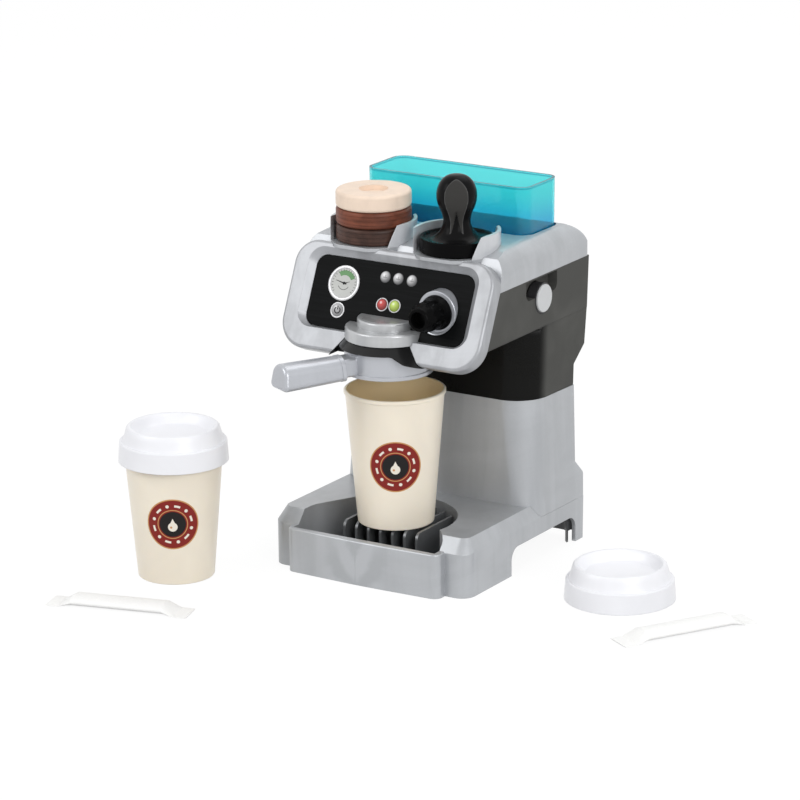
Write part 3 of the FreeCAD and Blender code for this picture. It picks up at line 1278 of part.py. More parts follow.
def sugar_stick(x, y, turn):
    """A filled paper tube whose flat crimped ends bend down to the surface."""
    end = STICK_LONG / 2
    inner = end - STICK_CRIMP
    full = inner - STICK_SHOULDER

    def across(at, wide, tall):
        wire = Part.Wire(Part.Ellipse(ZERO, wide / 2, tall / 2).toShape())
        wire.rotate(ZERO, Vector(1, 0, 0), 90)
        wire.rotate(ZERO, UP, 90)
        wire.translate(Vector(at, 0, tall / 2))
        return wire
    crimp = STICK_CRIMP_TALL
    rows = [(-end, STICK_CRIMP_WIDE, crimp), (-inner, STICK_CRIMP_WIDE, crimp),
            (-full, STICK_WIDE, STICK_TALL), (full, STICK_WIDE, STICK_TALL),
            (inner, STICK_CRIMP_WIDE, crimp), (end, STICK_CRIMP_WIDE, crimp)]
    stick = Part.makeLoft([across(at, wide, tall) for at, wide, tall in rows], True, True)
    stick.rotate(ZERO, UP, turn)
    stick.translate(Vector(x, y, 0))
    return stick


def main():
    os.makedirs("parts", exist_ok=True)
    save(base_tray(), "base_tray")
    save(drip_grille(), "drip_grille")
    save(column_shell(), "column_shell")
    save(column_rear_cover(), "column_rear_cover")
    save(middle_housing(), "middle_housing")
    save(head_rear_cover(), "head_rear_cover")
    save(top_cover(), "top_cover")
    save(holder(-1), "disc_holder")
    save(holder(1), "tamper_holder")
    save(front_bezel(), "front_bezel")
    save(control_label(), "control_label")
    save(group_cap(), "group_cap")
    save(bayonet_ring(), "bayonet_ring")
    save(knob_collar(), "knob_collar")
    save(click_spring(), "click_spring")
    save(button_spring(), "button_spring")
    save(screw_set(base_screw_heads(), UP), "base_screws")
    save(screw_set(seam_screw_heads(), UP), "neck_screws")
    save(screw_set(top_screw_heads(), UP), "top_cover_screws")
    save(bezel_screws(), "bezel_screws")
    save(screw_set(group_screw_heads(), Vector(0, 0, -1)), "group_screws")
    save(screw_set(column_cover_heads(), Vector(0, -1, 0)), "column_cover_screws")
    save(screw_set(head_cover_heads(), Vector(0, -1, 0)), "head_cover_screws")
    save(control_knob(), "control_knob")
    save(knob_spindle(), "knob_spindle")
    save(click_wheel(), "click_wheel")
    save(knob_screw(), "knob_screw")
    save(portafilter_bowl(), "portafilter_bowl")
    save(portafilter_collar(), "portafilter_collar")
    save(portafilter_handle(), "portafilter_handle")
    save(handle_screw(), "handle_screw")
    save(side_button(), "side_button")
    save(side_button_cap(), "side_button_cap")
    save(water_tank(), "water_tank")
    save(coffee_disc(0, True), "coffee_disc_dark")
    save(coffee_disc(1, True), "coffee_disc_brown")
    save(coffee_disc(2, False), "coffee_disc_cream")
    save(tamper_base(), "tamper_base")
    save(tamper_handle(), "tamper_handle")
    save(paper_cup(0, CUP_Y, FIN_TOP + SEAT_GAP), "cup")
    save(paper_cup(SECOND_CUP_X, SECOND_CUP_Y, 0), "second_cup")
    save(cup_lid(SECOND_CUP_X, SECOND_CUP_Y, CUP_TALL + SEAT_GAP - LID_SEAT), "second_cup_lid")
    save(cup_lid(LID_X, LID_Y, 0), "loose_lid")
    save(sugar_stick(LEFT_STICK_X, LEFT_STICK_Y, LEFT_STICK_DEG), "left_sugar_stick")
    save(sugar_stick(RIGHT_STICK_X, RIGHT_STICK_Y, RIGHT_STICK_DEG), "right_sugar_stick")


main()
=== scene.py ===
"""Looks of the toy coffee maker: finishes, printed panel, cups, lids, sticks and studio.

All lengths in the dataclasses are millimetres. Meshes are written in metres, in the frame of the
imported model.
"""
import json
import logging
import math
from dataclasses import dataclass, field
from enum import Enum
from typing import Any, Sequence

import bmesh
import bpy
from mathutils import Matrix, Vector

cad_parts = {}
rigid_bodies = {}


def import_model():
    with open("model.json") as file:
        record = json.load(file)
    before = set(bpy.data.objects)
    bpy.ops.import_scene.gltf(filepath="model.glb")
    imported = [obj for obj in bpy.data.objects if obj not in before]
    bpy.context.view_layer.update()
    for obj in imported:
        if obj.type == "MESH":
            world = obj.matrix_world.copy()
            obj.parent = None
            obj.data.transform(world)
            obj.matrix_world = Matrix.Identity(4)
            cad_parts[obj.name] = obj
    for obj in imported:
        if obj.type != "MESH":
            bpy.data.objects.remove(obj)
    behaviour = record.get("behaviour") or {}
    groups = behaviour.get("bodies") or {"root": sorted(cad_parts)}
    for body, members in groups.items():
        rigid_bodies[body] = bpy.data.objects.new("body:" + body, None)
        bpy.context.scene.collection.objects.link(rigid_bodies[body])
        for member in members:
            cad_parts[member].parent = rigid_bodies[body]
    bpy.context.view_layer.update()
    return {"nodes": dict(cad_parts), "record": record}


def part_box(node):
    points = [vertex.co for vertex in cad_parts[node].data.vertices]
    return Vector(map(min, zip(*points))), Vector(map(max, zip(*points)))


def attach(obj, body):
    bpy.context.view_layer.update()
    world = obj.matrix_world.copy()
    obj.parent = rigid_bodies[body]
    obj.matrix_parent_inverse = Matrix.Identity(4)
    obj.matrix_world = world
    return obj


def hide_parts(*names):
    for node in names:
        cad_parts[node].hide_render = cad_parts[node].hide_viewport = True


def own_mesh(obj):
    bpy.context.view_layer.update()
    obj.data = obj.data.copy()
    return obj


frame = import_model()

logging.basicConfig(level=logging.INFO, format="%(message)s")
log = logging.getLogger("coffee_maker")

MM = 0.001
# Degrees by which the control panel leans back, and the radii of the cups' print and the touch spots
PANEL_LEAN = 24.5
BADGE_R = 18.4
SPOT_R = 4.1
Point = tuple[float, float, float]
Arc = tuple[float, float, float, float]
Colour = tuple[float, float, float]
BODY_OF = {node: body for body, nodes in frame["record"]["behaviour"]["bodies"].items() for node in nodes}


# Shader maths

class Shade:
    """A number socket of a material whose operators add Math nodes."""

    def __init__(self, graph: "Graph", socket: bpy.types.NodeSocket) -> None:
        """Keep the socket and the graph it belongs to."""
        self.graph = graph
        self.socket = socket

    def _math(self, operation: str, *others: Any) -> "Shade":
        """Add one Math node.

        Args:
            operation: the Math node's operation.
            others: its inputs in order; numbers or shades.

        Returns:
            The node's result.
        """
        inputs = {i: other for i, other in enumerate(others)}
        node = self.graph.node("ShaderNodeMath", {"operation": operation}, inputs)
        return Shade(self.graph, node.outputs[0])

    def __add__(self, other: Any) -> "Shade":
        """Sum."""
        return self._math("ADD", self, other)

    __radd__ = __add__

    def __mul__(self, other: Any) -> "Shade":
        """Product."""
        return self._math("MULTIPLY", self, other)

    __rmul__ = __mul__

    def __sub__(self, other: Any) -> "Shade":
        """Difference."""
        return self._math("SUBTRACT", self, other)

    def __rsub__(self, other: Any) -> "Shade":
        """Reflected difference."""
        return self._math("SUBTRACT", other, self)

    def __truediv__(self, other: Any) -> "Shade":
        """Quotient."""
        return self._math("DIVIDE", self, other)

    def __pow__(self, other: Any) -> "Shade":
        """Power."""
        return self._math("POWER", self, other)

    def __abs__(self) -> "Shade":
        """Magnitude."""
        return self._math("ABSOLUTE", self)

    def apply(self, operation: str, *others: Any) -> "Shade":
        """Any other Math operation on this value."""
        return self._math(operation, self, *others)

    def step(self, low: float, high: float) -> "Shade":
        """A smooth rise.

        Args:
            low: where it is 0.
            high: where it is 1.

        Returns:
            The rise.
        """
        node = self.graph.node("ShaderNodeMapRange", {"interpolation_type": "SMOOTHSTEP"},
                               {"Value": self, "From Min": low, "From Max": high})
        return Shade(self.graph, node.outputs[0])

    def within(self, centre: float, half: float, soft: float) -> "Shade":
        """1 where this value is within half of centre, fading over soft."""
        return 1 - abs(self - centre).step(half - soft, half + soft)


class Graph:
    """A material under construction."""

    def __init__(self, name: str) -> None:
        """Start an empty node material.

        Args:
            name: the material's name.
        """
        self.material = bpy.data.materials.new(name)
        self.material.use_nodes = True
        self.tree = self.material.node_tree
        self.tree.nodes.clear()

    def node(self, kind: str, settings: dict[str, Any] | None = None,
             inputs: dict[Any, Any] | None = None) -> bpy.types.Node:
        """Add a node.

        Args:
            kind: the node's type name.
            settings: its properties, set first.
            inputs: values or links by socket name or index.

        Returns:
            The node.
        """
        node = self.tree.nodes.new(kind)
        for key, value in (settings or {}).items():
            setattr(node, key, value)
        for key, value in (inputs or {}).items():
            socket = node.inputs[key]
            if isinstance(value, Shade):
                self.tree.links.new(value.socket, socket)
            elif isinstance(value, bpy.types.NodeSocket):
                self.tree.links.new(value, socket)
            elif socket.type == "RGBA" and len(value) == 3:
                socket.default_value = (*value, 1)
            else:
                socket.default_value = value
        return node

    def place(self) -> bpy.types.NodeSocket:
        """The point on the piece, in metres, in the frame."""
        return self.node("ShaderNodeTexCoord").outputs["Object"]

    def axes(self) -> tuple[Shade, Shade, Shade]:
        """The three coordinates of the point on the piece, in millimetres.

        Returns:
            x, y and z.
        """
        split = self.node("ShaderNodeSeparateXYZ", None, {0: self.place()})
        x, y, z = (Shade(self, out) * 1000 for out in split.outputs)
        return x, y, z

    def flat_axes(self) -> tuple[Shade, Shade]:
        """The piece's own flat coordinates, which its UV map holds in millimetres.

        Returns:
            u and v.
        """
        uv = self.node("ShaderNodeUVMap", {"uv_map": "UVMap"}).outputs[0]
        split = self.node("ShaderNodeSeparateXYZ", None, {0: uv})
        return Shade(self, split.outputs[0]), Shade(self, split.outputs[1])

    def stretched(self, scale: Point) -> bpy.types.NodeSocket:
        """The point on the piece, scaled by axis."""
        return self.node("ShaderNodeMapping", None, {"Vector": self.place(), "Scale": scale}).outputs[0]

    def noise(self, scale: float, detail: float = 3, rough: float = 0.5, warp: float = 0,
              source: bpy.types.NodeSocket | None = None) -> Shade:
        """A noise value around 0.5.

        Args:
            scale: cycles per metre before stretching.
            detail: octaves.
            rough: strength of the finer octaves.
            warp: distortion.
            source: the coordinates; the point on the piece when left out.

        Returns:
            The noise's factor.
        """
        node = self.node("ShaderNodeTexNoise", None,
                         {"Vector": source or self.place(), "Scale": scale, "Detail": detail,
                          "Roughness": rough, "Distortion": warp})
        return Shade(self, node.outputs[0])

    def mix(self, factor: Any, first: Any, second: Any) -> bpy.types.NodeSocket:
        """Mix two colours."""
        node = self.node("ShaderNodeMix", {"data_type": "RGBA"}, {0: factor, 6: first, 7: second})
        return node.outputs[2]

    def mottled(self, factor: Any, colour: Colour, dark: float, light: float) -> bpy.types.NodeSocket:
        """A colour that wanders between two strengths of itself.

        Args:
            factor: 0 where it is darkest, 1 where it is lightest.
            colour: the middle colour.
            dark: its strength at 0.
            light: its strength at 1.

        Returns:
            The colour.
        """
        return self.mix(factor, scaled(colour, dark), scaled(colour, light))

    def bump(self, height: Shade, distance: float, strength: float = 1.0,
             normal: bpy.types.NodeSocket | None = None) -> bpy.types.NodeSocket:
        """A relief on the surface.

        Args:
            height: its height, from 0 to 1.
            distance: its depth in millimetres.
            strength: how much of it shows.
            normal: normals that it adds to, if any.

        Returns:
            The new normals.
        """
        inputs = {"Height": height, "Distance": distance * MM, "Strength": strength}
        if normal is not None:
            inputs["Normal"] = normal
        return self.node("ShaderNodeBump", None, inputs).outputs[0]

    def soft_edges(self, radius: float) -> bpy.types.NodeSocket:
        """Normals that round sharp edges by a radius in millimetres."""
        return self.node("ShaderNodeBevel", {"samples": 4}, {"Radius": radius * MM}).outputs[0]

    def close(self, inputs: dict[str, Any]) -> bpy.types.Material:
        """Join everything to the surface output.

        Args:
            inputs: the Principled shader's values and links.

        Returns:
            The finished material.
        """
        shader = self.node("ShaderNodeBsdfPrincipled", None, inputs)
        self.node("ShaderNodeOutputMaterial", None, {"Surface": shader.outputs[0]})
        return self.material


def scaled(colour: Colour, factor: float) -> Colour:
    """A colour times a factor."""
    return tuple(min(1.0, channel * factor) for channel in colour)


# Finishes

@dataclass(frozen=True)
class PearlPlastic:
    """Moulded pearl grey plastic: fine metal flakes, soft flow marks and upright streaks."""

    name: str
    colour: Colour = (0.44, 0.455, 0.475)
    metallic: float = 0.42
    rough: float = 0.36
    marks: float = 0.1
    tray: bool = False
    weld_x: float = -4.0
    front_y: float = -84.0
    # Where the painted shade lies under the tray's deck: half width, top, front and rear
    shade_half: float = 76.4
    shade_top: float = 28.0
    shade_front: float = -11.0
    shade_rear: float = 72.9

    def build(self) -> bpy.types.Material:
        """Make the material.

        Returns:
            The material.
        """
        g = Graph(self.name)
        flow = g.noise(9, 4, 0.55, 1.4, g.stretched((1, 1, 2.2)))
        flakes = g.noise(2600, 2, 0.6)
        streaks = g.noise(70, 3, 0.6, 0.3, g.stretched((1, 1, 0.1)))
        tone = flow.step(0.3, 0.7) * 0.6 + streaks.step(0.34, 0.66) * 0.55
        if self.tray:
            place = g.axes()
            tone = self.weld_line(tone, flow, *place)
        base = g.mottled(tone.apply("MAXIMUM", 0), self.colour, 1 - self.marks, 1 + self.marks * 0.6)
        base = g.mix(flakes.step(0.55, 0.75) * 0.25, base, scaled(self.colour, 1.5))
        if self.tray:
            # Painted shade: the tray's unlit interior is darkened nearly to black in its colour
            base = g.mix(self.painted_hollow_shade(*place) * 0.93, base, (0.01, 0.01, 0.011))
        rough = flow * 0.1 + flakes * 0.08 + (self.rough - 0.09)
        grain = g.bump(flakes, 0.02, 0.25, g.soft_edges(0.45))
        return g.close({"Base Color": base, "Metallic": self.metallic, "Roughness": rough, "Normal": grain,
                        "Coat Weight": 0.25, "Coat Roughness": 0.22})

    def weld_line(self, tone: Shade, flow: Shade, x: Shade, y: Shade, z: Shade) -> Shade:
        """The mark down the tray's front where the melt met, with ripples to both sides.

        Args:
            tone: the plastic's tone without it.
            flow: the flow marks, which bend the line.
            x: place across the tray.
            y: place along it.
            z: height.

        Returns:
            The tone with the mark.
        """
        on_front = 1 - (y - self.front_y).step(0, 3)
        ripple = (abs(x - self.weld_x) * 0.22 - z * 0.16 + flow * 7).apply("SINE")
        near = (1 - abs(x - self.weld_x).step(4, 34)) * on_front
        line = (x - self.weld_x + flow * 3 - 1.5).within(0, 0.35, 0.5) * on_front
        return tone + ripple * near * 0.9 - line * 1.2

    def painted_hollow_shade(self, x: Shade, y: Shade, z: Shade) -> Shade:
        """The mask of the painted shade under the tray's deck, where it lies unlit.

        Args:
            x: place across the tray.
            y: place along it.
            z: height.

        Returns:
            1 where the shade is painted, 0 on the tray's outer faces.
        """
        soft = 0.1
        across = 1 - abs(x).step(self.shade_half - soft, self.shade_half + soft)
        below = 1 - z.step(self.shade_top - soft, self.shade_top + soft)
        behind = y.step(self.shade_front - 3, self.shade_front + 3)
        before = 1 - y.step(self.shade_rear - soft, self.shade_rear + soft)
        return across * below * behind * before


@dataclass(frozen=True)
class SatinPlastic:
    """Plain moulded plastic with a fine eroded grain; painted shade darkens it under any overhang, where it
    is also glossier.
    """

    name: str
    colour: Colour
    rough: float = 0.45
    grain: float = 0.03
    coat: float = 0.0
    edge: float = 0.4
    cloud: float = 0.12
    gloss: float = 0.5
    painted_shade_below: float | None = None
    painted_shade_front: float = 27.0

    def build(self) -> bpy.types.Material:
        """Make the material.

        Returns:
            The material.
        """
        g = Graph(self.name)
        cloud = g.noise(22, 3, 0.5, 0.4)
        fine = g.noise(1500, 2, 0.6)
        base = g.mottled(cloud.step(0.35, 0.65), self.colour, 1 - self.cloud, 1 + self.cloud)
        rough = cloud * 0.08 + fine * 0.06 + (self.rough - 0.07)
        # Painted shade: under the head's overhang, below a height and in front of a line across the piece,
        # the colour is darkened
        if self.painted_shade_below is not None:
            _, y, z = g.axes()
            below = 1 - z.step(self.painted_shade_below - 1.5, self.painted_shade_below + 1.5)
            shade = below * (1 - y.step(self.painted_shade_front - 5, self.painted_shade_front + 5))
            base = g.mix(shade * 0.96, base, scaled(self.colour, 0.05))
            rough = rough - shade * 0.22
        relief = g.bump(fine, self.grain, 0.4, g.soft_edges(self.edge))
        return g.close({"Base Color": base, "Roughness": rough, "Normal": relief,
                        "Specular IOR Level": self.gloss, "Coat Weight": self.coat, "Coat Roughness": 0.08})


@dataclass(frozen=True)
class FacetPlastic:
    """The tamper grip's black plastic: darkest black where round, a painted grey sheen on the flat facets
    and a painted highlight along their edges.

    The piece's UV map holds the depth of the facet in millimetres as u.
    """

    name: str = "black_faceted"
    black: Colour = (0.0025, 0.0025, 0.0027)
    # Painted reflections: a grey sheen for the facets and a highlight for their edges
    sheen: Colour = (0.046, 0.045, 0.043)
    edge: Colour = (0.20, 0.20, 0.20)

    def build(self) -> bpy.types.Material:
        """Make the material.

        Returns:
            The material.
        """
        g = Graph(self.name)
        depth = g.flat_axes()[0]
        facet = depth.step(0.02, 0.16)
        fine = g.noise(1500, 2, 0.6)
        # Painted sheen on the facets and a painted highlight line along their edges
        base = g.mix(facet, self.black, self.sheen)
        base = g.mix(depth.within(0.08, 0.05, 0.04) * 0.5, base, self.edge)
        rough = fine * 0.06 + 0.2 - facet * 0.06
        return g.close({"Base Color": base, "Roughness": rough, "Normal": g.bump(fine, 0.01, 0.2),
                        "Specular IOR Level": 0.05})


@dataclass(frozen=True)
class LabelFilm:
    """Black printed film with a faint brushed sheen along its length."""

    name: str = "label_film"
    dark: Colour = (0.003, 0.0033, 0.0035)
    light: Colour = (0.0075, 0.008, 0.0085)

    def build(self) -> bpy.types.Material:
        """Make the material.

        Returns:
            The material.
        """
        g = Graph(self.name)
        brush = g.noise(420, 4, 0.7, 0, g.stretched((0.04, 1, 1)))
        wide = g.noise(28, 2, 0.5, 0, g.stretched((1, 1.6, 1.6)))
        base = g.mix(brush.step(0.35, 0.75), self.dark, self.light)
        rough = brush * 0.18 + wide * 0.12 + 0.26
        return g.close({"Base Color": base, "Roughness": rough, "Normal": g.bump(brush, 0.01, 0.3),
                        "Specular IOR Level": 0.04})


@dataclass(frozen=True)
class ClearPlastic:
    """Tinted see-through plastic: painted shade deepens its colour toward its foot, and its rim is tinted
    deeper too.
    """

    name: str
    tint: Colour
    shade_and_rim_tint: Colour
    foot: float
    top: float
    lip: float = 1.3
    rough: float = 0.05

    def build(self) -> bpy.types.Material:
        """Make the material.

        Returns:
            The material.
        """
        g = Graph(self.name)
        cloud = g.noise(16, 2, 0.5)
        z = g.axes()[2]
        # Painted shade: the colour deepens toward the foot, where the machine's dark interior shows through
        height = (z + cloud * 6 - 3).step(self.foot, self.foot + 0.9 * (self.top - self.foot))
        tint = g.mix(height, self.shade_and_rim_tint, scaled(self.tint, 0.97))
        lip = (z - (self.top - self.lip)).within(0, 0.35, 0.25)
        rim = (z - self.top).within(0, 0.25, 0.2)
        tint = g.mix(lip.apply("MAXIMUM", rim) * 0.6, tint, scaled(self.shade_and_rim_tint, 0.4))
        rough = cloud * 0.05 + self.rough
        return g.close({"Base Color": tint, "Roughness": rough, "Transmission Weight": 0.85, "IOR": 1.3,
                        "Normal": g.bump(cloud, 0.05, 0.2)})


@dataclass(frozen=True)
class DiscPlastic:
    """A coffee disc's plastic with faint turning streaks round its side."""

    name: str
    colour: Colour
    streaks: float = 0.3
    rough: float = 0.42
    vary: float = 0.2

    def build(self) -> bpy.types.Material:
        """Make the material.

        Returns:
            The material.
        """
        g = Graph(self.name)
        rings = g.noise(900, 3, 0.6, 0, g.stretched((0.02, 0.02, 1)))
        cloud = g.noise(60, 3, 0.6, 0.6)
        tone = (rings - 0.5) * self.streaks + cloud
        base = g.mottled(tone.step(0.3, 0.7), self.colour, 1 - self.vary, 1 + self.vary)
        rough = cloud * 0.15 + (self.rough - 0.07)
        relief = g.bump(rings + cloud * 0.5, 0.04, 0.5, g.soft_edges(0.3))
        return g.close({"Base Color": base, "Roughness": rough, "Normal": relief,
                        "Specular IOR Level": 0.25})


@dataclass(frozen=True)
class CupPlastic:
    """A cream cup: smooth outside; its inner wall is the same plastic, painted a warmer tan for light
    bounced between the walls.
    """

    name: str
    x: float
    y: float
    foot: float
    middle_r: float
    flare: float
    floor: float = 2.6
    outside: Colour = (0.90, 0.82, 0.69)
    painted_bounce_tan: Colour = (0.98, 0.79, 0.48)

    def build(self) -> bpy.types.Material:
        """Make the material.

        Returns:
            The material.
        """
        g = Graph(self.name)
        x, y, z = g.axes()
        across = (x - self.x) * (x - self.x) + (y - self.y) * (y - self.y)
        up = z - self.foot
        middle = up * self.flare + self.middle_r
        inner = (middle - across.apply("SQRT")).step(-0.25, 0.25)
        inner = inner * up.step(self.floor - 0.4, self.floor + 0.4)
        cloud = g.noise(18, 3, 0.5, 0.8)
        fibre = g.noise(700, 3, 0.6)
        skin = g.mottled(cloud.step(0.3, 0.7), self.outside, 0.97, 1.03)
        # Painted light: the inner wall is the same plastic, painted warmer for light bounced between the
        # cup's walls
        base = g.mix(inner, skin, self.painted_bounce_tan)
        rough = inner * 0.12 + fibre * 0.06 + 0.3
        return g.close({"Base Color": base, "Roughness": rough, "Normal": g.bump(fibre, 0.02, 0.2),
                        "Subsurface Weight": 0.12, "Subsurface Radius": (1, 0.8, 0.5),
                        "Subsurface Scale": 0.002})


@dataclass(frozen=True)
class StickPaper:
    """Thin white paper, creased across a filled tube."""

    name: str = "stick_paper"
    colour: Colour = (0.93, 0.93, 0.92)

    def build(self) -> bpy.types.Material:
        """Make the material.

        Returns:
            The material.
        """
        g = Graph(self.name)
        fibre = g.noise(900, 4, 0.7)
        crease = g.noise(120, 3, 0.55, 1.2)
        fold = abs(crease - 0.5)
        base = g.mottled(fibre.step(0.3, 0.7), self.colour, 0.97, 1)
        rough = fibre * 0.15 + 0.55
        relief = g.bump(fibre, 0.02, 0.3, g.bump(fold, 0.9, 0.6))
        return g.close({"Base Color": base, "Roughness": rough, "Normal": relief})


@dataclass(frozen=True)
class PlatedMetal:
    """Bright metal: screws, springs and the plated spots of the panel."""

    name: str
    colour: Colour = (0.62, 0.62, 0.63)
    rough: float = 0.25
    metallic: float = 1.0

    def build(self) -> bpy.types.Material:
        """Make the material.

        Returns:
            The material.
        """
        g = Graph(self.name)
        wear = g.noise(260, 3, 0.6)
        base = g.mottled(wear.step(0.3, 0.7), self.colour, 0.85, 1.08)
        rough = wear * 0.16 + (self.rough - 0.08)
        return g.close({"Base Color": base, "Metallic": self.metallic, "Roughness": rough,
                        "Normal": g.bump(wear, 0.01, 0.3)})


@dataclass(frozen=True)
class PrintedBall:
    """A round print shaded as a ball, with a light upper left and a dark rim."""

    name: str
    light: Colour
    dark: Colour
    radius: float
    icon: bool = False

    def build(self) -> bpy.types.Material:
        """Make the material; the piece's UV map is in millimetres from its centre.

        Returns:
            The material.
        """
        g = Graph(self.name)
        u, v = g.flat_axes()
        r = (u * u + v * v).apply("SQRT") / self.radius
        lit = ((u + self.radius * 0.28) ** 2 + (v - self.radius * 0.34) ** 2).apply("SQRT") / self.radius
        ball = g.mix(lit.step(0.1, 1.25), self.light, self.dark)
        ball = g.mix(r.step(0.82, 0.98) * 0.75, ball, scaled(self.dark, 0.35))
        ball = g.mix((1 - lit.step(0.05, 0.36)) * 0.55, ball, (0.95, 0.95, 0.95))
        if self.icon:
            bar = v.within(-0.35, 0.28, 0.12) * u.within(0, self.radius * 0.42, 0.15)
            stem = u.within(0.2, 0.28, 0.12) * v.within(0.2, self.radius * 0.3, 0.15)
            ball = g.mix(bar.apply("MAXIMUM", stem) * 0.6, ball, (0.06, 0.06, 0.065))
        fine = g.noise(1800, 2, 0.5)
        return g.close({"Base Color": ball, "Roughness": fine * 0.08 + 0.24,
                        "Normal": g.bump(fine, 0.01, 0.2), "Specular IOR Level": 0.25})


@dataclass(frozen=True)
class BadgePrint:
    """The cups' round print: a dark red ring of dots and dashes round a black middle with a drop."""

    name: str = "badge_print"
    radius: float = BADGE_R
    red: Colour = (0.235, 0.020, 0.016)
    gold: Colour = (0.60, 0.30, 0.12)
    cream: Colour = (0.86, 0.80, 0.70)
    black: Colour = (0.012, 0.010, 0.010)
    marks_r: float = 13.4
    line_r: float = 10.3
    black_r: float = 9.2
    drop_r: float = 3.3
    drop_v: float = -2.0
    dots: int = 12
    dot_r: float = 1.05
    dash_half: float = 2.1
    dash_wide: float = 0.75
    soft: float = 0.12

    def build(self) -> bpy.types.Material:
        """Make the material; the piece's UV map is in millimetres from its centre.

        Returns:
            The material.
        """
        g = Graph(self.name)
        u, v = g.flat_axes()
        r = (u * u + v * v).apply("SQRT")
        turn = v.apply("ARCTAN2", u) / (2 * math.pi) + 0.5
        along = ((turn * self.dots).apply("FRACT") - 0.5) * (2 * math.pi / self.dots * self.marks_r)
        off = r - self.marks_r
        dot = 1 - ((along * along + off ** 2).apply("SQRT")).step(self.dot_r, self.dot_r + 0.25)
        dash = along.within(0, self.dash_half, self.soft) * off.within(0, self.dash_wide, self.soft)
        odd = (turn * (self.dots / 2)).apply("FRACT").step(0.499, 0.501)
        marks = dot * odd + dash * (1 - odd)
        ink = g.mix(marks.apply("MINIMUM", 1), self.red, self.cream)
        ink = g.mix(r.step(self.radius - 0.95, self.radius - 0.75), ink, self.gold)
        ink = g.mix(1 - r.step(self.black_r - 0.1, self.black_r + 0.1), ink, self.black)
        ink = g.mix(r.within(self.line_r, 0.3, self.soft), ink, self.gold)
        up = v - self.drop_v
        body = 1 - (u * u + up * up).apply("SQRT").step(self.drop_r - 0.1, self.drop_r + 0.1)
        taper = (abs(u) + up.apply("MAXIMUM", 0) * 0.48 - 2.95).step(-0.12, 0.12)
        drop = (body + (1 - taper) * up.step(1.2, 1.4)).apply("MINIMUM", 1)
        ink = g.mix(drop, ink, self.cream)
        gleam = ((u + 1.1) ** 2 + (v + 2.3) ** 2).apply("SQRT")
        ink = g.mix(1 - gleam.step(0.7, 0.9), ink, self.gold)
        fine = g.noise(900, 2, 0.5)
        return g.close({"Base Color": ink, "Roughness": fine * 0.08 + 0.34,
                        "Normal": g.bump(fine, 0.01, 0.2), "Specular IOR Level": 0.2})


@dataclass(frozen=True)
class StudioFloor:
    """A pale floor that stays white to the camera but keeps a soft shadow."""

    name: str = "studio_floor"
    paper: float = 0.62
    glow: float = 1.12
    glow_seen: float = 0.82
    glow_mirrored: float = 0.8

    def build(self) -> bpy.types.Material:
        """Make the material.

        Returns:
            The material.
        """
        g = Graph(self.name)
        paper = g.node("ShaderNodeBsdfDiffuse", None, {"Color": (self.paper, self.paper, self.paper)})
        glow = g.node("ShaderNodeEmission", None, {"Color": (1, 1, 1), "Strength": self.glow})
        path = g.node("ShaderNodeLightPath")
        seen = Shade(g, path.outputs["Is Camera Ray"]) * self.glow_seen
        glossy = Shade(g, path.outputs["Is Glossy Ray"])
        clear = glossy.apply("MAXIMUM", path.outputs["Is Transmission Ray"])
        factor = seen.apply("MAXIMUM", clear * self.glow_mirrored)
        both = g.node("ShaderNodeMixShader", None, {0: factor, 1: paper.outputs[0], 2: glow.outputs[0]})
        g.node("ShaderNodeOutputMaterial", None, {"Surface": both.outputs[0]})
        return g.material


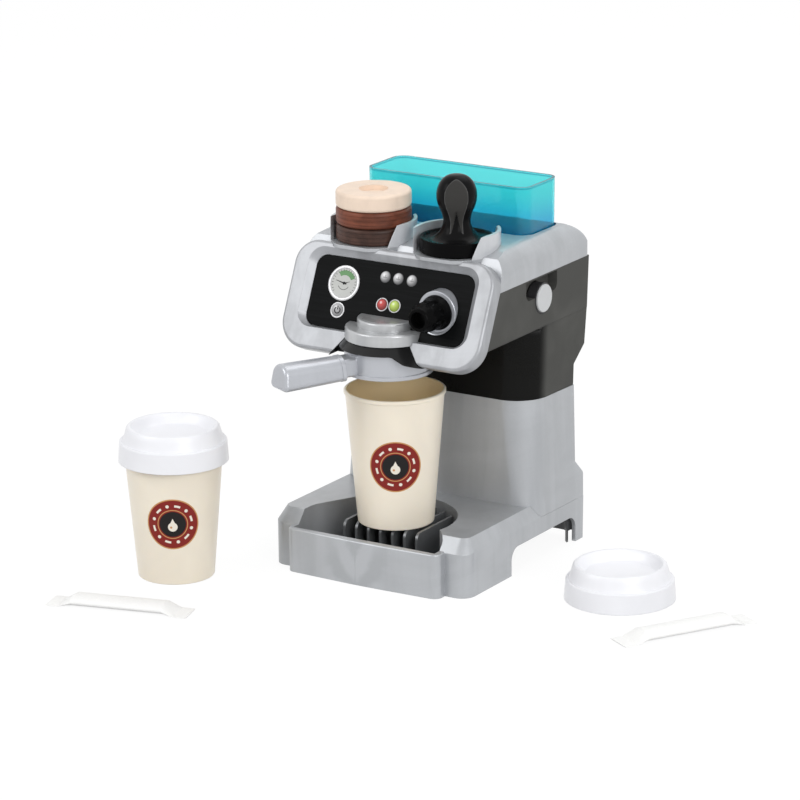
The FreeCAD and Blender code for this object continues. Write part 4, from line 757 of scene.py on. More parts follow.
class Finish(Enum):
    """Every finish on the object; the value is what builds it."""

    SHELL = PearlPlastic("pearl_shell")
    TRAY = PearlPlastic("pearl_tray", tray=True)
    BEZEL = PearlPlastic("pearl_bezel", colour=(0.36, 0.37, 0.39), metallic=0.22, marks=0.22)
    GRIP = PearlPlastic("pearl_grip", colour=(0.47, 0.485, 0.52), rough=0.3, marks=0.05)
    # Painted shade: a darker copy of the pearl plastic for the grille down in the drip well
    GRILLE = PearlPlastic("pearl_grille", colour=(0.15, 0.156, 0.163), rough=0.3, marks=0.05)
    PLATED = PearlPlastic("plated_cap", colour=(0.50, 0.51, 0.52), metallic=0.5, rough=0.3, marks=0.16)
    HOUSING = SatinPlastic("black_housing", (0.082, 0.082, 0.077), 0.5, gloss=0.08, painted_shade_below=168.0)
    GLOSS = SatinPlastic("black_gloss", (0.003, 0.003, 0.0032), 0.26, 0.01, 0.0, 0.5, gloss=0.04)
    FACETED = FacetPlastic()
    RING = SatinPlastic("black_ring", (0.012, 0.012, 0.0125), 0.26, 0.02, 0.08, 0.5, gloss=0.2)
    LABEL = LabelFilm()
    HOLDER = PearlPlastic("pearl_holder", colour=(0.60, 0.615, 0.64), metallic=0.3)
    CAP_GREY = SatinPlastic("button_grey", (0.29, 0.30, 0.335), 0.42, gloss=0.2)
    TANK = ClearPlastic("turquoise_tank", (0.17, 0.86, 0.88), (0.01, 0.48, 0.88), 207.0, 263.6)
    CREAM = DiscPlastic("cream_disc", (0.86, 0.70, 0.57), 0.08, vary=0.05)
    BROWN = DiscPlastic("brown_disc", (0.16, 0.048, 0.026), 0.7, vary=0.3)
    DARK = DiscPlastic("dark_disc", (0.062, 0.030, 0.022), 0.7, vary=0.35)
    LID = SatinPlastic("white_lid", (0.86, 0.865, 0.90), 0.34, 0.01, 0.1, 0.5, 0.02)
    STICK = StickPaper()
    STEEL = PlatedMetal("screw_steel")
    SPRING = PlatedMetal("spring_steel", (0.45, 0.45, 0.46), 0.3)
    FITTING = SatinPlastic("dark_fitting", (0.03, 0.03, 0.032), 0.4)
    DIAL_RIM = PlatedMetal("dial_rim", (0.50, 0.50, 0.51), 0.3, 0.6)
    DIAL_FACE = SatinPlastic("dial_face", (0.56, 0.57, 0.55), 0.4, 0.005, 0.0, 0.2, 0.08, 0.2)
    DIAL_GREEN = SatinPlastic("dial_green", (0.17, 0.36, 0.16), 0.4, 0.005, 0.0, 0.1, 0.25, 0.2)
    INK = SatinPlastic("print_ink", (0.015, 0.015, 0.016), 0.4, 0.005, 0.0, 0.1, gloss=0.15)
    BADGE = BadgePrint()
    SILVER_SPOT = PrintedBall("silver_spot", (0.66, 0.66, 0.67), (0.13, 0.13, 0.135), SPOT_R, True)
    POWER_SPOT = PrintedBall("power_spot", (0.46, 0.46, 0.47), (0.16, 0.16, 0.165), 5.5)
    RED_LAMP = PrintedBall("red_lamp", (0.60, 0.05, 0.045), (0.20, 0.006, 0.006), 3.9)
    GREEN_LAMP = PrintedBall("green_lamp", (0.56, 0.72, 0.14), (0.24, 0.33, 0.03), 3.9)

    def material(self) -> bpy.types.Material:
        """The finish's material, built on first use."""
        found = bpy.data.materials.get(self.value.name)
        return found or self.value.build()


# Mesh helpers

def linked(name: str, data: Any) -> bpy.types.Object:
    """Put a new object in the scene.

    Args:
        name: its name.
        data: the mesh, lamp or camera that it carries.

    Returns:
        The object.
    """
    obj = bpy.data.objects.new(name, data)
    bpy.context.scene.collection.objects.link(obj)
    return obj


def dress(obj: bpy.types.Object, finish: Finish) -> bpy.types.Object:
    """Give an object one finish all over.

    Args:
        obj: the object.
        finish: its finish.

    Returns:
        The same object.
    """
    obj.data.materials.clear()
    obj.data.materials.append(finish.material())
    return obj


def register(obj: bpy.types.Object, body: str) -> bpy.types.Object:
    """Let a finished piece ride on its body and report it.

    Args:
        obj: the piece, at the origin.
        body: the CAD body that carries it.

    Returns:
        The piece.
    """
    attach(obj, body)
    log.info("piece %s: %d faces on %s", obj.name, len(obj.data.polygons), body)
    return obj


def mesh_object(name: str, mesh: bpy.types.Mesh, finish: Finish, sharp: float = 32) -> bpy.types.Object:
    """Link a mesh as a smooth object with sharp edges by angle.

    Args:
        name: the object's name.
        mesh: its mesh.
        finish: its finish.
        sharp: edges above this angle stay crisp.

    Returns:
        The object.
    """
    mesh.shade_smooth()
    mesh.set_sharp_from_angle(angle=math.radians(sharp))
    return dress(linked(name, mesh), finish)


def merged_copy(node: str, finish: Finish, sharp: float = 32) -> bpy.types.Object:
    """A copy of a CAD node with joined corners and smooth shading, which stands for it.

    Args:
        node: the CAD node's name.
        finish: its finish.
        sharp: edges above this angle stay crisp.

    Returns:
        The piece, riding on the node's body.
    """
    mesh = frame["nodes"][node].data.copy()
    draft = bmesh.new()
    draft.from_mesh(mesh)
    bmesh.ops.remove_doubles(draft, verts=draft.verts, dist=2e-6)
    draft.to_mesh(mesh)
    draft.free()
    for name in [a.name for a in mesh.attributes if a.name in ("custom_normal", "sharp_face")]:
        mesh.attributes.remove(mesh.attributes[name])
    obj = mesh_object(node + "_finish", mesh, finish, sharp)
    obj = baked(obj, [("WEIGHTED_NORMAL", {"keep_sharp": True, "weight": 50})])
    register(obj, BODY_OF[node])
    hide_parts(node)
    return obj


def baked(obj: bpy.types.Object, modifiers: Sequence[tuple[str, dict[str, Any]]]) -> bpy.types.Object:
    """Run modifiers on a piece and keep the plain result.

    Args:
        obj: the piece.
        modifiers: modifier types with their settings, in order.

    Returns:
        The same object with its new mesh and no modifiers.
    """
    for kind, settings in modifiers:
        modifier = obj.modifiers.new(kind.lower(), kind)
        for key, value in settings.items():
            setattr(modifier, key, value)
    return plain(obj)


def plain(obj: bpy.types.Object) -> bpy.types.Object:
    """Turn an object's evaluated shape into its plain mesh and drop its modifiers.

    Args:
        obj: the object.

    Returns:
        The same object.
    """
    graph = bpy.context.evaluated_depsgraph_get()
    graph.update()
    result = bpy.data.meshes.new_from_object(obj.evaluated_get(graph), preserve_all_data_layers=True,
                                             depsgraph=graph)
    obj.modifiers.clear()
    obj.data = result
    return obj


@dataclass
class Draft:
    """Vertices and faces of a piece, in millimetres."""

    verts: list[Vector] = field(default_factory=list)
    faces: list[tuple[int, ...]] = field(default_factory=list)
    flat: list[tuple[float, float]] = field(default_factory=list)

    def lathe(self, profile: Sequence[tuple[float, float]], segments: int, place: Matrix) -> None:
        """Add a closed turned shape.

        Args:
            profile: (radius, height) points from the axis above to the axis below, top first.
            segments: steps round the axis.
            place: where the shape's local frame goes.
        """
        rows: list[list[int]] = []
        for radius, height in profile:
            row = []
            count = 1 if radius < 1e-6 else segments
            for i in range(count):
                angle = 2 * math.pi * i / segments
                local = Vector((radius * math.cos(angle), radius * math.sin(angle), height))
                row.append(len(self.verts))
                self.verts.append(place @ local)
                self.flat.append((local.x, local.y))
            rows.append(row)
        for upper, lower in zip(rows, rows[1:]):
            for i in range(segments):
                j = (i + 1) % segments
                corners = [upper[i % len(upper)], lower[i % len(lower)],
                           lower[j % len(lower)], upper[j % len(upper)]]
                unique = list(dict.fromkeys(corners))
                if len(unique) > 2:
                    self.faces.append(tuple(unique))

    def slab(self, loop: Sequence[tuple[float, float]], low: float, high: float, place: Matrix) -> None:
        """Add a flat plate.

        Args:
            loop: its outline, anticlockwise seen from above.
            low: the underside's height.
            high: the top's height.
            place: where the plate's local frame goes.
        """
        start = len(self.verts)
        count = len(loop)
        for height in (low, high):
            for x, y in loop:
                self.verts.append(place @ Vector((x, y, height)))
                self.flat.append((x, y))
        self.faces.append(tuple(start + count + i for i in range(count)))
        self.faces.append(tuple(start + count - 1 - i for i in range(count)))
        for i in range(count):
            j = (i + 1) % count
            self.faces.append((start + i, start + j, start + count + j, start + count + i))

    def arc(self, inner: float, outer: float, start: float, end: float, low: float, high: float,
            place: Matrix, steps: int = 24) -> None:
        """Add a flat arc band.

        Args:
            inner: its inner radius.
            outer: its outer radius.
            start: its first angle in degrees.
            end: its last angle in degrees.
            low: the underside's height.
            high: the top's height.
            place: where the band's local frame goes.
            steps: steps along the band.
        """
        angles = [math.radians(start + (end - start) * i / steps) for i in range(steps + 1)]
        loop = [(outer * math.cos(a), outer * math.sin(a)) for a in angles]
        loop += [(inner * math.cos(a), inner * math.sin(a)) for a in reversed(angles)]
        base = len(self.verts)
        for height in (low, high):
            for x, y in loop:
                self.verts.append(place @ Vector((x, y, height)))
                self.flat.append((x, y))
        total = len(loop)
        for i in range(steps):
            a, b = i, i + 1
            c, d = total - 2 - i, total - 1 - i
            self.faces.append((base + total + a, base + total + b, base + total + c, base + total + d))
            self.faces.append((base + d, base + c, base + b, base + a))
        for i in range(total):
            j = (i + 1) % total
            self.faces.append((base + i, base + j, base + total + j, base + total + i))

    def build(self, name: str, finish: Finish, sharp: float = 32) -> bpy.types.Object:
        """Make the object, in metres, with its flat coordinates as UV map.

        Args:
            name: the object's name.
            finish: its finish.
            sharp: edges above this angle stay crisp.

        Returns:
            The object.
        """
        mesh = bpy.data.meshes.new(name)
        mesh.from_pydata([vert * MM for vert in self.verts], [], self.faces)
        layer = mesh.uv_layers.new(name="UVMap")
        for loop in mesh.loops:
            layer.data[loop.index].uv = self.flat[loop.vertex_index]
        mesh.validate()
        draft = bmesh.new()
        draft.from_mesh(mesh)
        bmesh.ops.recalc_face_normals(draft, faces=draft.faces)
        draft.to_mesh(mesh)
        draft.free()
        return mesh_object(name, mesh, finish, sharp)


# Geometry Nodes for what repeats or follows a path

class Pattern:
    """A geometry node tree with named size inputs."""

    def __init__(self, name: str, sizes: dict[str, tuple[str, Any]]) -> None:
        """Start a tree.

        Args:
            name: the tree's name.
            sizes: inputs as name: (socket type, value).
        """
        self.tree = bpy.data.node_groups.new(name, "GeometryNodeTree")
        self.ids: dict[str, str] = {}
        self.values: dict[str, Any] = {}
        face = self.tree.interface
        face.new_socket("Geometry", in_out="OUTPUT", socket_type="NodeSocketGeometry")
        face.new_socket("Geometry", in_out="INPUT", socket_type="NodeSocketGeometry")
        for label, (kind, value) in sizes.items():
            socket = face.new_socket(label, in_out="INPUT", socket_type=kind)
            self.ids[label] = socket.identifier
            self.values[label] = value
        self.source = self.tree.nodes.new("NodeGroupInput")

    def node(self, kind: str, settings: dict[str, Any] | None = None,
             inputs: dict[Any, Any] | None = None) -> bpy.types.Node:
        """Add a node.

        Args:
            kind: the node's type name.
            settings: its properties, set first.
            inputs: values, links or names of the tree's inputs, by socket name or index.

        Returns:
            The node.
        """
        node = self.tree.nodes.new(kind)
        for key, value in (settings or {}).items():
            setattr(node, key, value)
        for key, value in (inputs or {}).items():
            if isinstance(value, str):
                value = self.source.outputs[value]
            if isinstance(value, bpy.types.NodeSocket):
                self.tree.links.new(value, node.inputs[key])
            else:
                node.inputs[key].default_value = value
        return node

    def run(self, obj: bpy.types.Object, geometry: bpy.types.NodeSocket,
            finish: Finish) -> bpy.types.Object:
        """Close the tree, run it on an object and keep the plain mesh.

        Args:
            obj: the object that carries the modifier.
            geometry: what the tree makes.
            finish: the finish set at its end.

        Returns:
            The object with its plain mesh.
        """
        real = self.node("GeometryNodeRealizeInstances", None, {0: geometry})
        coat = self.node("GeometryNodeSetMaterial", None,
                         {0: real.outputs[0], "Material": finish.material()})
        out = self.tree.nodes.new("NodeGroupOutput")
        self.tree.links.new(coat.outputs[0], out.inputs[0])
        modifier = obj.modifiers.new("pattern", "NODES")
        modifier.node_group = self.tree
        for label, identifier in self.ids.items():
            modifier[identifier] = self.values[label]
        obj = plain(obj)
        draft = bmesh.new()
        draft.from_mesh(obj.data)
        bmesh.ops.remove_doubles(draft, verts=draft.verts, dist=1e-6)
        bmesh.ops.recalc_face_normals(draft, faces=draft.faces)
        draft.to_mesh(obj.data)
        draft.free()
        obj.data.shade_smooth()
        obj.data.set_sharp_from_angle(angle=math.radians(35))
        return obj


def points_object(name: str, points: Sequence[Vector], axes: Sequence[Vector]) -> bpy.types.Object:
    """A mesh of loose points, each with the direction that its instance faces.

    Args:
        name: the object's name.
        points: places in millimetres.
        axes: one direction for each point.

    Returns:
        The linked object.
    """
    mesh = bpy.data.meshes.new(name)
    mesh.from_pydata([tuple(point * MM) for point in points], [], [])
    facing = mesh.attributes.new("facing", "FLOAT_VECTOR", "POINT")
    facing.data.foreach_set("vector", [part for axis in axes for part in axis])
    return linked(name, mesh)


def instances(pattern: Pattern, instance: bpy.types.NodeSocket, axis: str,
              upward: Vector | None = None) -> bpy.types.NodeSocket:
    """Put a shape on every point of the pattern's input, turned to the point's direction.

    Args:
        pattern: the tree that is being built.
        instance: the shape.
        axis: the shape's own axis that faces the direction.
        upward: where the shape's z axis points, if it matters.

    Returns:
        The instances.
    """
    named = pattern.node("GeometryNodeInputNamedAttribute", {"data_type": "FLOAT_VECTOR"})
    named.inputs["Name"].default_value = "facing"
    turn = pattern.node("FunctionNodeAlignRotationToVector", {"axis": axis}, {"Vector": named.outputs[0]})
    if upward is not None:
        turn = pattern.node("FunctionNodeAlignRotationToVector", {"axis": "Z", "pivot_axis": "X"},
                            {"Rotation": turn.outputs[0], "Vector": tuple(upward)})
    copies = pattern.node("GeometryNodeInstanceOnPoints", None,
                          {"Points": pattern.source.outputs["Geometry"], "Instance": instance,
                           "Rotation": turn.outputs[0]})
    return copies.outputs[0]


@dataclass
class ScrewSet:
    """Pan head screws with a cross recess, one on each place of a CAD screw node."""

    node: str
    axis: Vector
    shank: float = 9.0
    shank_r: float = 1.4
    head_r: float = 3.0
    head_h: float = 2.0
    pitch: float = 1.1
    core_r: float = 1.12
    recess_arm: float = 1.5
    recess_half: float = 0.33
    recess_floor: float = 0.7

    def seats(self) -> list[Vector]:
        """The middle of each screw's seat, read from the CAD node's loose shapes.

        Returns:
            The seats in millimetres, always in the same order.
        """
        mesh = frame["nodes"][self.node].data
        draft = bmesh.new()
        draft.from_mesh(mesh)
        bmesh.ops.remove_doubles(draft, verts=draft.verts, dist=2e-6)
        left = set(draft.verts)
        seats = []
        while left:
            island = [left.pop()]
            for vert in island:
                for edge in vert.link_edges:
                    other = edge.other_vert(vert)
                    if other in left:
                        left.remove(other)
                        island.append(other)
            reach = [vert.co.dot(self.axis) for vert in island]
            flat = [vert.co - self.axis * vert.co.dot(self.axis) for vert in island]
            low = Vector([min(v[i] for v in flat) for i in range(3)])
            high = Vector([max(v[i] for v in flat) for i in range(3)])
            seats.append(((low + high) / 2 + self.axis * (min(reach) + self.head_h * MM)) / MM)
        draft.free()
        return sorted(seats, key=tuple)

    def form(self) -> bpy.types.Object:
        """One screw; its seat is at the origin and its head points up.

        Returns:
            The pattern piece, not registered.
        """
        thread = []
        for i in range(int((self.shank - 1.6) / self.pitch)):
            z = -0.6 - i * self.pitch
            thread += [(self.core_r, z), (self.shank_r, z - self.pitch * 0.45),
                       (self.core_r, z - self.pitch * 0.9)]
        r, h = self.head_r, self.head_h
        crown = [(0, h * 0.93), (r * 0.55, h * 0.93), (r * 0.85, h * 0.72), (r, h * 0.3), (r, 0)]
        tip = [(self.shank_r * 0.35, -self.shank + 0.2), (0, -self.shank)]
        draft = Draft()
        draft.lathe([*crown, (self.core_r, 0), *thread, *tip], 20, Matrix.Identity(4))
        screw = draft.build("screw_form", Finish.STEEL)
        arm, half = self.recess_arm, self.recess_half
        cut = Draft()
        cut.slab([(-arm, -half), (-half, -half), (-half, -arm), (half, -arm), (half, -half), (arm, -half),
                  (arm, half), (half, half), (half, arm), (-half, arm), (-half, half), (-arm, half)],
                 self.recess_floor, h * 1.2, Matrix.Identity(4))
        tool = cut.build("screw_recess", Finish.STEEL)
        baked(screw, [("BOOLEAN", {"operation": "DIFFERENCE", "object": tool, "solver": "EXACT"})])
        bpy.data.objects.remove(tool)
        return screw

    def build(self) -> None:
        """Make the set and let it stand for its CAD node."""
        head = self.form()
        pattern = Pattern(self.node + "_pattern", {"Screw": ("NodeSocketObject", head)})
        info = pattern.node("GeometryNodeObjectInfo", None, {"Object": "Screw"})
        seats = self.seats()
        obj = points_object(self.node + "_finish", seats, [-self.axis] * len(seats))
        obj = pattern.run(obj, instances(pattern, info.outputs["Geometry"], "Z"), Finish.STEEL)
        bpy.data.objects.remove(head)
        register(obj, BODY_OF[self.node])
        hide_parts(self.node)


# Sub-assemblies

class Dressed:
    """A sub-assembly whose CAD nodes are copied with joined corners and one finish each."""

    finishes: dict[str, Finish]

    def dress_all(self) -> None:
        """Dress every node of the sub-assembly."""
        for node, finish in self.finishes.items():
            merged_copy(node, finish)


@dataclass
class Shells(Dressed):
    """The moulded shells of the machine and their hidden fittings."""

    finishes: dict[str, Finish] = field(default_factory=lambda: {
        "base_tray": Finish.TRAY, "drip_grille": Finish.GRILLE, "column_shell": Finish.SHELL,
        "column_rear_cover": Finish.SHELL, "middle_housing": Finish.HOUSING,
        "head_rear_cover": Finish.HOUSING, "top_cover": Finish.SHELL, "disc_holder": Finish.HOLDER,
        "tamper_holder": Finish.HOLDER, "front_bezel": Finish.BEZEL, "control_label": Finish.LABEL,
        "click_spring": Finish.SPRING})
    screws: dict[str, Point] = field(default_factory=lambda: {
        "base_screws": (0, 0, 1), "neck_screws": (0, 0, 1), "top_cover_screws": (0, 0, 1),
        "group_screws": (0, 0, -1), "column_cover_screws": (0, -1, 0), "head_cover_screws": (0, -1, 0)})

    def build(self) -> None:
        """Dress the shells and make the screws."""
        self.dress_all()
        for node, axis in self.screws.items():
            ScrewSet(node, Vector(axis)).build()
        lean = math.radians(PANEL_LEAN)
        ScrewSet("bezel_screws", Vector((0, -math.cos(lean), math.sin(lean)))).build()


@dataclass
class PanelPrints:
    """The gauge, the spots and the lamps on the leaning label.

    A place is u across and v up the label, with a radius where it has one. An arc is its inner and outer
    radius with its first and last angle, and a hand its angle, length, tail and half width.
    """

    foot_y: float = -61.7
    foot_z: float = 170.2
    gauge: tuple[float, float, float] = (-38.7, 31.9, 12.4)
    power: tuple[float, float, float] = (-39.3, 12.9, 5.5)
    spots: tuple[tuple[float, float], ...] = ((-7.2, 40.4), (3.1, 40.4), (14.0, 40.4))
    lamps: tuple[tuple[float, float], ...] = ((-5.2, 21.3), (4.8, 21.5))
    lamp_r: float = 4.7
    film: float = 0.06
    tuck: float = 0.1
    face_top: float = 0.13
    gauge_rim: float = 2.3
    gauge_rim_h: float = 0.55
    green: Arc = (5.6, 9.0, 28.0, 128.0)
    green_top: float = 0.18
    lower_arc: Arc = (4.4, 4.75, -150.0, -30.0)
    lower_top: float = 0.17
    hands: tuple[Arc, ...] = ((168.0, 7.0, 2.0, 0.55), (18.0, 4.6, 1.0, 0.35))
    hand_tip: float = 0.12
    hand_top: float = 0.24
    scale_in: float = 3.3
    ticks: int = 21
    tick: Point = (1.2, 0.28, 0.08)
    power_rim: float = 1.0
    lamp_rim: float = 0.7
    rim_h: float = 0.3
    sign: Arc = (1.75, 2.55, 125.0, 415.0)
    sign_bar: Point = (0.38, 0.3, 3.0)
    sign_low: float = 0.2
    sign_top: float = 0.28

    def keep(self, draft: Draft, name: str, finish: Finish, sharp: float = 32) -> None:
        """Finish one print, which rides on the machine with the label."""
        register(draft.build(name, finish, sharp), "machine")

    def at(self, u: float, v: float) -> Matrix:
        """The frame of a point of the label: x across, y up the label, z out of it."""
        turn = Matrix.Rotation(math.radians(90 - PANEL_LEAN), 4, "X")
        return Matrix.Translation((0, self.foot_y, self.foot_z)) @ turn @ Matrix.Translation((u, v, 0))

    def dome(self, name: str, u: float, v: float, radius: float, height: float, finish: Finish) -> None:
        """One raised round print.

        Args:
            name: its name.
            u: place across the label.
            v: place up the label.
            radius: its radius.
            height: how far its middle stands off the label.
            finish: its finish.
        """
        draft = Draft()
        steps = 8
        angles = [math.pi / 2 * i / steps for i in range(steps + 1)]
        profile = [(radius * math.sin(a), self.film + height * math.cos(a)) for a in angles]
        draft.lathe([*profile, (radius, 0.0), (0, 0.0)], 48, self.at(u, v))
        self.keep(draft, name, finish)

    def rim(self, name: str, u: float, v: float, radius: float, wide: float, height: float) -> None:
        """A raised ring print.

        Args:
            name: its name.
            u: place across the label.
            v: place up the label.
            radius: its outer radius.
            wide: width of the ring.
            height: how far it stands off the label.
        """
        draft = Draft()
        inner = radius - wide
        place = self.at(u, v)
        rows = [(radius, 0.0), (radius, height * 0.6), (radius - wide * 0.3, height),
                (inner + wide * 0.3, height), (inner, height * 0.5), (inner, 0.0)]
        count = 64
        for r, z in rows:
            for i in range(count):
                angle = 2 * math.pi * i / count
                local = Vector((r * math.cos(angle), r * math.sin(angle), z))
                draft.verts.append(place @ local)
                draft.flat.append((local.x, local.y))
        for k in range(len(rows)):
            nxt = (k + 1) % len(rows)
            for i in range(count):
                j = (i + 1) % count
                draft.faces.append((k * count + i, k * count + j, nxt * count + j, nxt * count + i))
        self.keep(draft, name, Finish.DIAL_RIM, 50)

    def build_gauge(self) -> None:
        """The printed pressure dial with its rim, scale and pointer."""
        u, v, radius = self.gauge
        place = self.at(u, v)
        low = self.face_top
        self.rim("gauge_rim", u, v, radius, self.gauge_rim, self.gauge_rim_h)
        face = Draft()
        face_r = radius - self.gauge_rim + self.tuck
        face.lathe([(0, low + 0.01), (face_r, low + 0.01), (face_r, 0), (0, 0)], 64, place)
        self.keep(face, "gauge_face", Finish.DIAL_FACE)
        green = Draft()
        green.arc(*self.green, low, self.green_top, place)
        self.keep(green, "gauge_green", Finish.DIAL_GREEN)
        ink = Draft()
        for angle, long, back, wide in self.hands:
            a = math.radians(angle)
            along, side = Vector((math.cos(a), math.sin(a))), Vector((-math.sin(a), math.cos(a)))
            tip, tail = along * long, along * -back
            loop = [tail - side * wide, tip - side * self.hand_tip, tip + side * self.hand_tip,
                    tail + side * wide]
            ink.slab([(p.x, p.y) for p in loop], low, self.hand_top, place)
        ink.lathe([(0, 0.3), (0.9, 0.28), (1.1, low), (0, low)], 24, place)
        ink.arc(*self.lower_arc, low, self.lower_top, place)
        self.keep(ink, "gauge_pointer", Finish.INK)
        self.build_ticks(place, radius - self.scale_in)

    def build_ticks(self, place: Matrix, radius: float) -> None:
        """The dial's scale: short bars on an arc, set by geometry nodes.

        Args:
            place: the dial's frame.
            radius: radius of the arc.
        """
        labels = ("Bar length", "Bar width", "Bar height")
        pattern = Pattern("tick_pattern", {label: ("NodeSocketFloat", size * MM)
                                           for label, size in zip(labels, self.tick)})
        size = pattern.node("ShaderNodeCombineXYZ", None, dict(enumerate(labels)))
        bar = pattern.node("GeometryNodeMeshCube", None, {"Size": size.outputs[0]})
        angles = [math.radians(220 - 260 * i / (self.ticks - 1)) for i in range(self.ticks)]
        ways = [Vector((math.cos(a), math.sin(a), 0)) for a in angles]
        turn = place.to_3x3()
        points = [place @ Vector((way.x * radius, way.y * radius, self.lower_top)) for way in ways]
        obj = points_object("gauge_scale", points, [turn @ way for way in ways])
        bars = instances(pattern, bar.outputs[0], "X", turn @ Vector((0, 0, 1)))
        register(pattern.run(obj, bars, Finish.INK), "machine")

    def build_power(self) -> None:
        """The silver spot with the common on and off sign."""
        u, v, radius = self.power
        place = self.at(u, v)
        half, foot, top = self.sign_bar
        self.rim("power_rim", u, v, radius, self.power_rim, self.rim_h)
        self.dome("power_spot", u, v, radius - self.power_rim + self.tuck, 0.15, Finish.POWER_SPOT)
        sign = Draft()
        sign.arc(*self.sign, self.sign_low, self.sign_top, place)
        sign.slab([(-half, foot), (half, foot), (half, top), (-half, top)], self.sign_low, self.sign_top,
                  place)
        self.keep(sign, "power_sign", Finish.INK)

    def build(self) -> None:
        """Make every print."""
        self.build_gauge()
        self.build_power()
        for i, (u, v) in enumerate(self.spots):
            self.dome(f"silver_spot_{i + 1}", u, v, SPOT_R, 0.35, Finish.SILVER_SPOT)
        for (u, v), name, finish in zip(self.lamps, ("red", "green"), (Finish.RED_LAMP, Finish.GREEN_LAMP)):
            self.rim(f"{name}_lamp_rim", u, v, self.lamp_r, self.lamp_rim, self.rim_h)
            self.dome(f"{name}_lamp", u, v, self.lamp_r - self.lamp_rim + self.tuck, 0.3, finish)


@dataclass
class GroupHead:
    """The stepped cap with its inlaid arc, the bayonet ring and the filter handle."""

    axis_y: float = -53.8
    cap_top: float = 182.1
    inlay_inner: float = 12.2
    inlay_outer: float = 18.4
    inlay_from: float = 200.0
    inlay_to: float = 344.0
    inlay_sunk: float = 0.02
    inlay_out: float = 0.12

    def build(self) -> None:
        """Dress the group head and the handle."""
        merged_copy("group_cap", Finish.PLATED)
        merged_copy("bayonet_ring", Finish.RING)
        for node in ("portafilter_bowl", "portafilter_collar", "portafilter_handle"):
            merged_copy(node, Finish.GRIP)
        merged_copy("handle_screw", Finish.STEEL)
        place = Matrix.Translation((0, self.axis_y, self.cap_top))
        inlay = Draft()
        inlay.arc(self.inlay_inner, self.inlay_outer, self.inlay_from, self.inlay_to,
                  -self.inlay_sunk, self.inlay_out, place, 40)
        register(inlay.build("cap_inlay", Finish.DIAL_RIM), "machine")


@dataclass
class Knob:
    """The fluted knob in its collar, and the button at the side."""

    spring_r: float = 4.6
    wire: float = 0.4
    turns: float = 6.0
    push: float = 3.1

    def build(self) -> None:
        """Dress the knob's and the button's pieces."""
        merged_copy("knob_collar", Finish.GRIP)
        merged_copy("control_knob", Finish.GLOSS, 40)
        merged_copy("knob_spindle", Finish.FITTING)
        merged_copy("click_wheel", Finish.FITTING)
        merged_copy("knob_screw", Finish.STEEL)
        merged_copy("side_button", Finish.FITTING)
        merged_copy("side_button_cap", Finish.CAP_GREY)
        self.build_spring()

    def build_spring(self) -> None:
        """The button's return spring: a round wire swept along a helix."""
        low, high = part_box("button_spring")
        sizes = {"Turns": self.turns, "Radius": self.spring_r * MM, "Wire radius": self.wire * MM,
                 "Length": high.x - low.x - 2 * self.wire * MM}
        inputs = {label: ("NodeSocketFloat", size) for label, size in sizes.items()}
        pattern = Pattern("spring_pattern", inputs)
        helix = pattern.node("GeometryNodeCurveSpiral", None,
                             {"Resolution": 40, "Rotations": "Turns", "Start Radius": "Radius",
                              "End Radius": "Radius", "Height": "Length"})
        ring = pattern.node("GeometryNodeCurvePrimitiveCircle", None,
                            {"Resolution": 10, "Radius": "Wire radius"})
        wire = pattern.node("GeometryNodeCurveToMesh", None,
                            {"Curve": helix.outputs[0], "Profile Curve": ring.outputs[0],
                             "Fill Caps": True})
        middle = (low + high) / 2
        moved = pattern.node("GeometryNodeTransform", None,
                             {0: wire.outputs[0], "Rotation": (0, math.pi / 2, 0),
                              "Translation": (low.x + self.wire * MM, middle.y, middle.z)})
        obj = linked("button_spring_coil", bpy.data.meshes.new("button_spring_coil"))
        obj = pattern.run(obj, moved.outputs[0], Finish.SPRING)
        register(obj, BODY_OF["button_spring"])
        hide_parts("button_spring")
        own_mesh(obj)


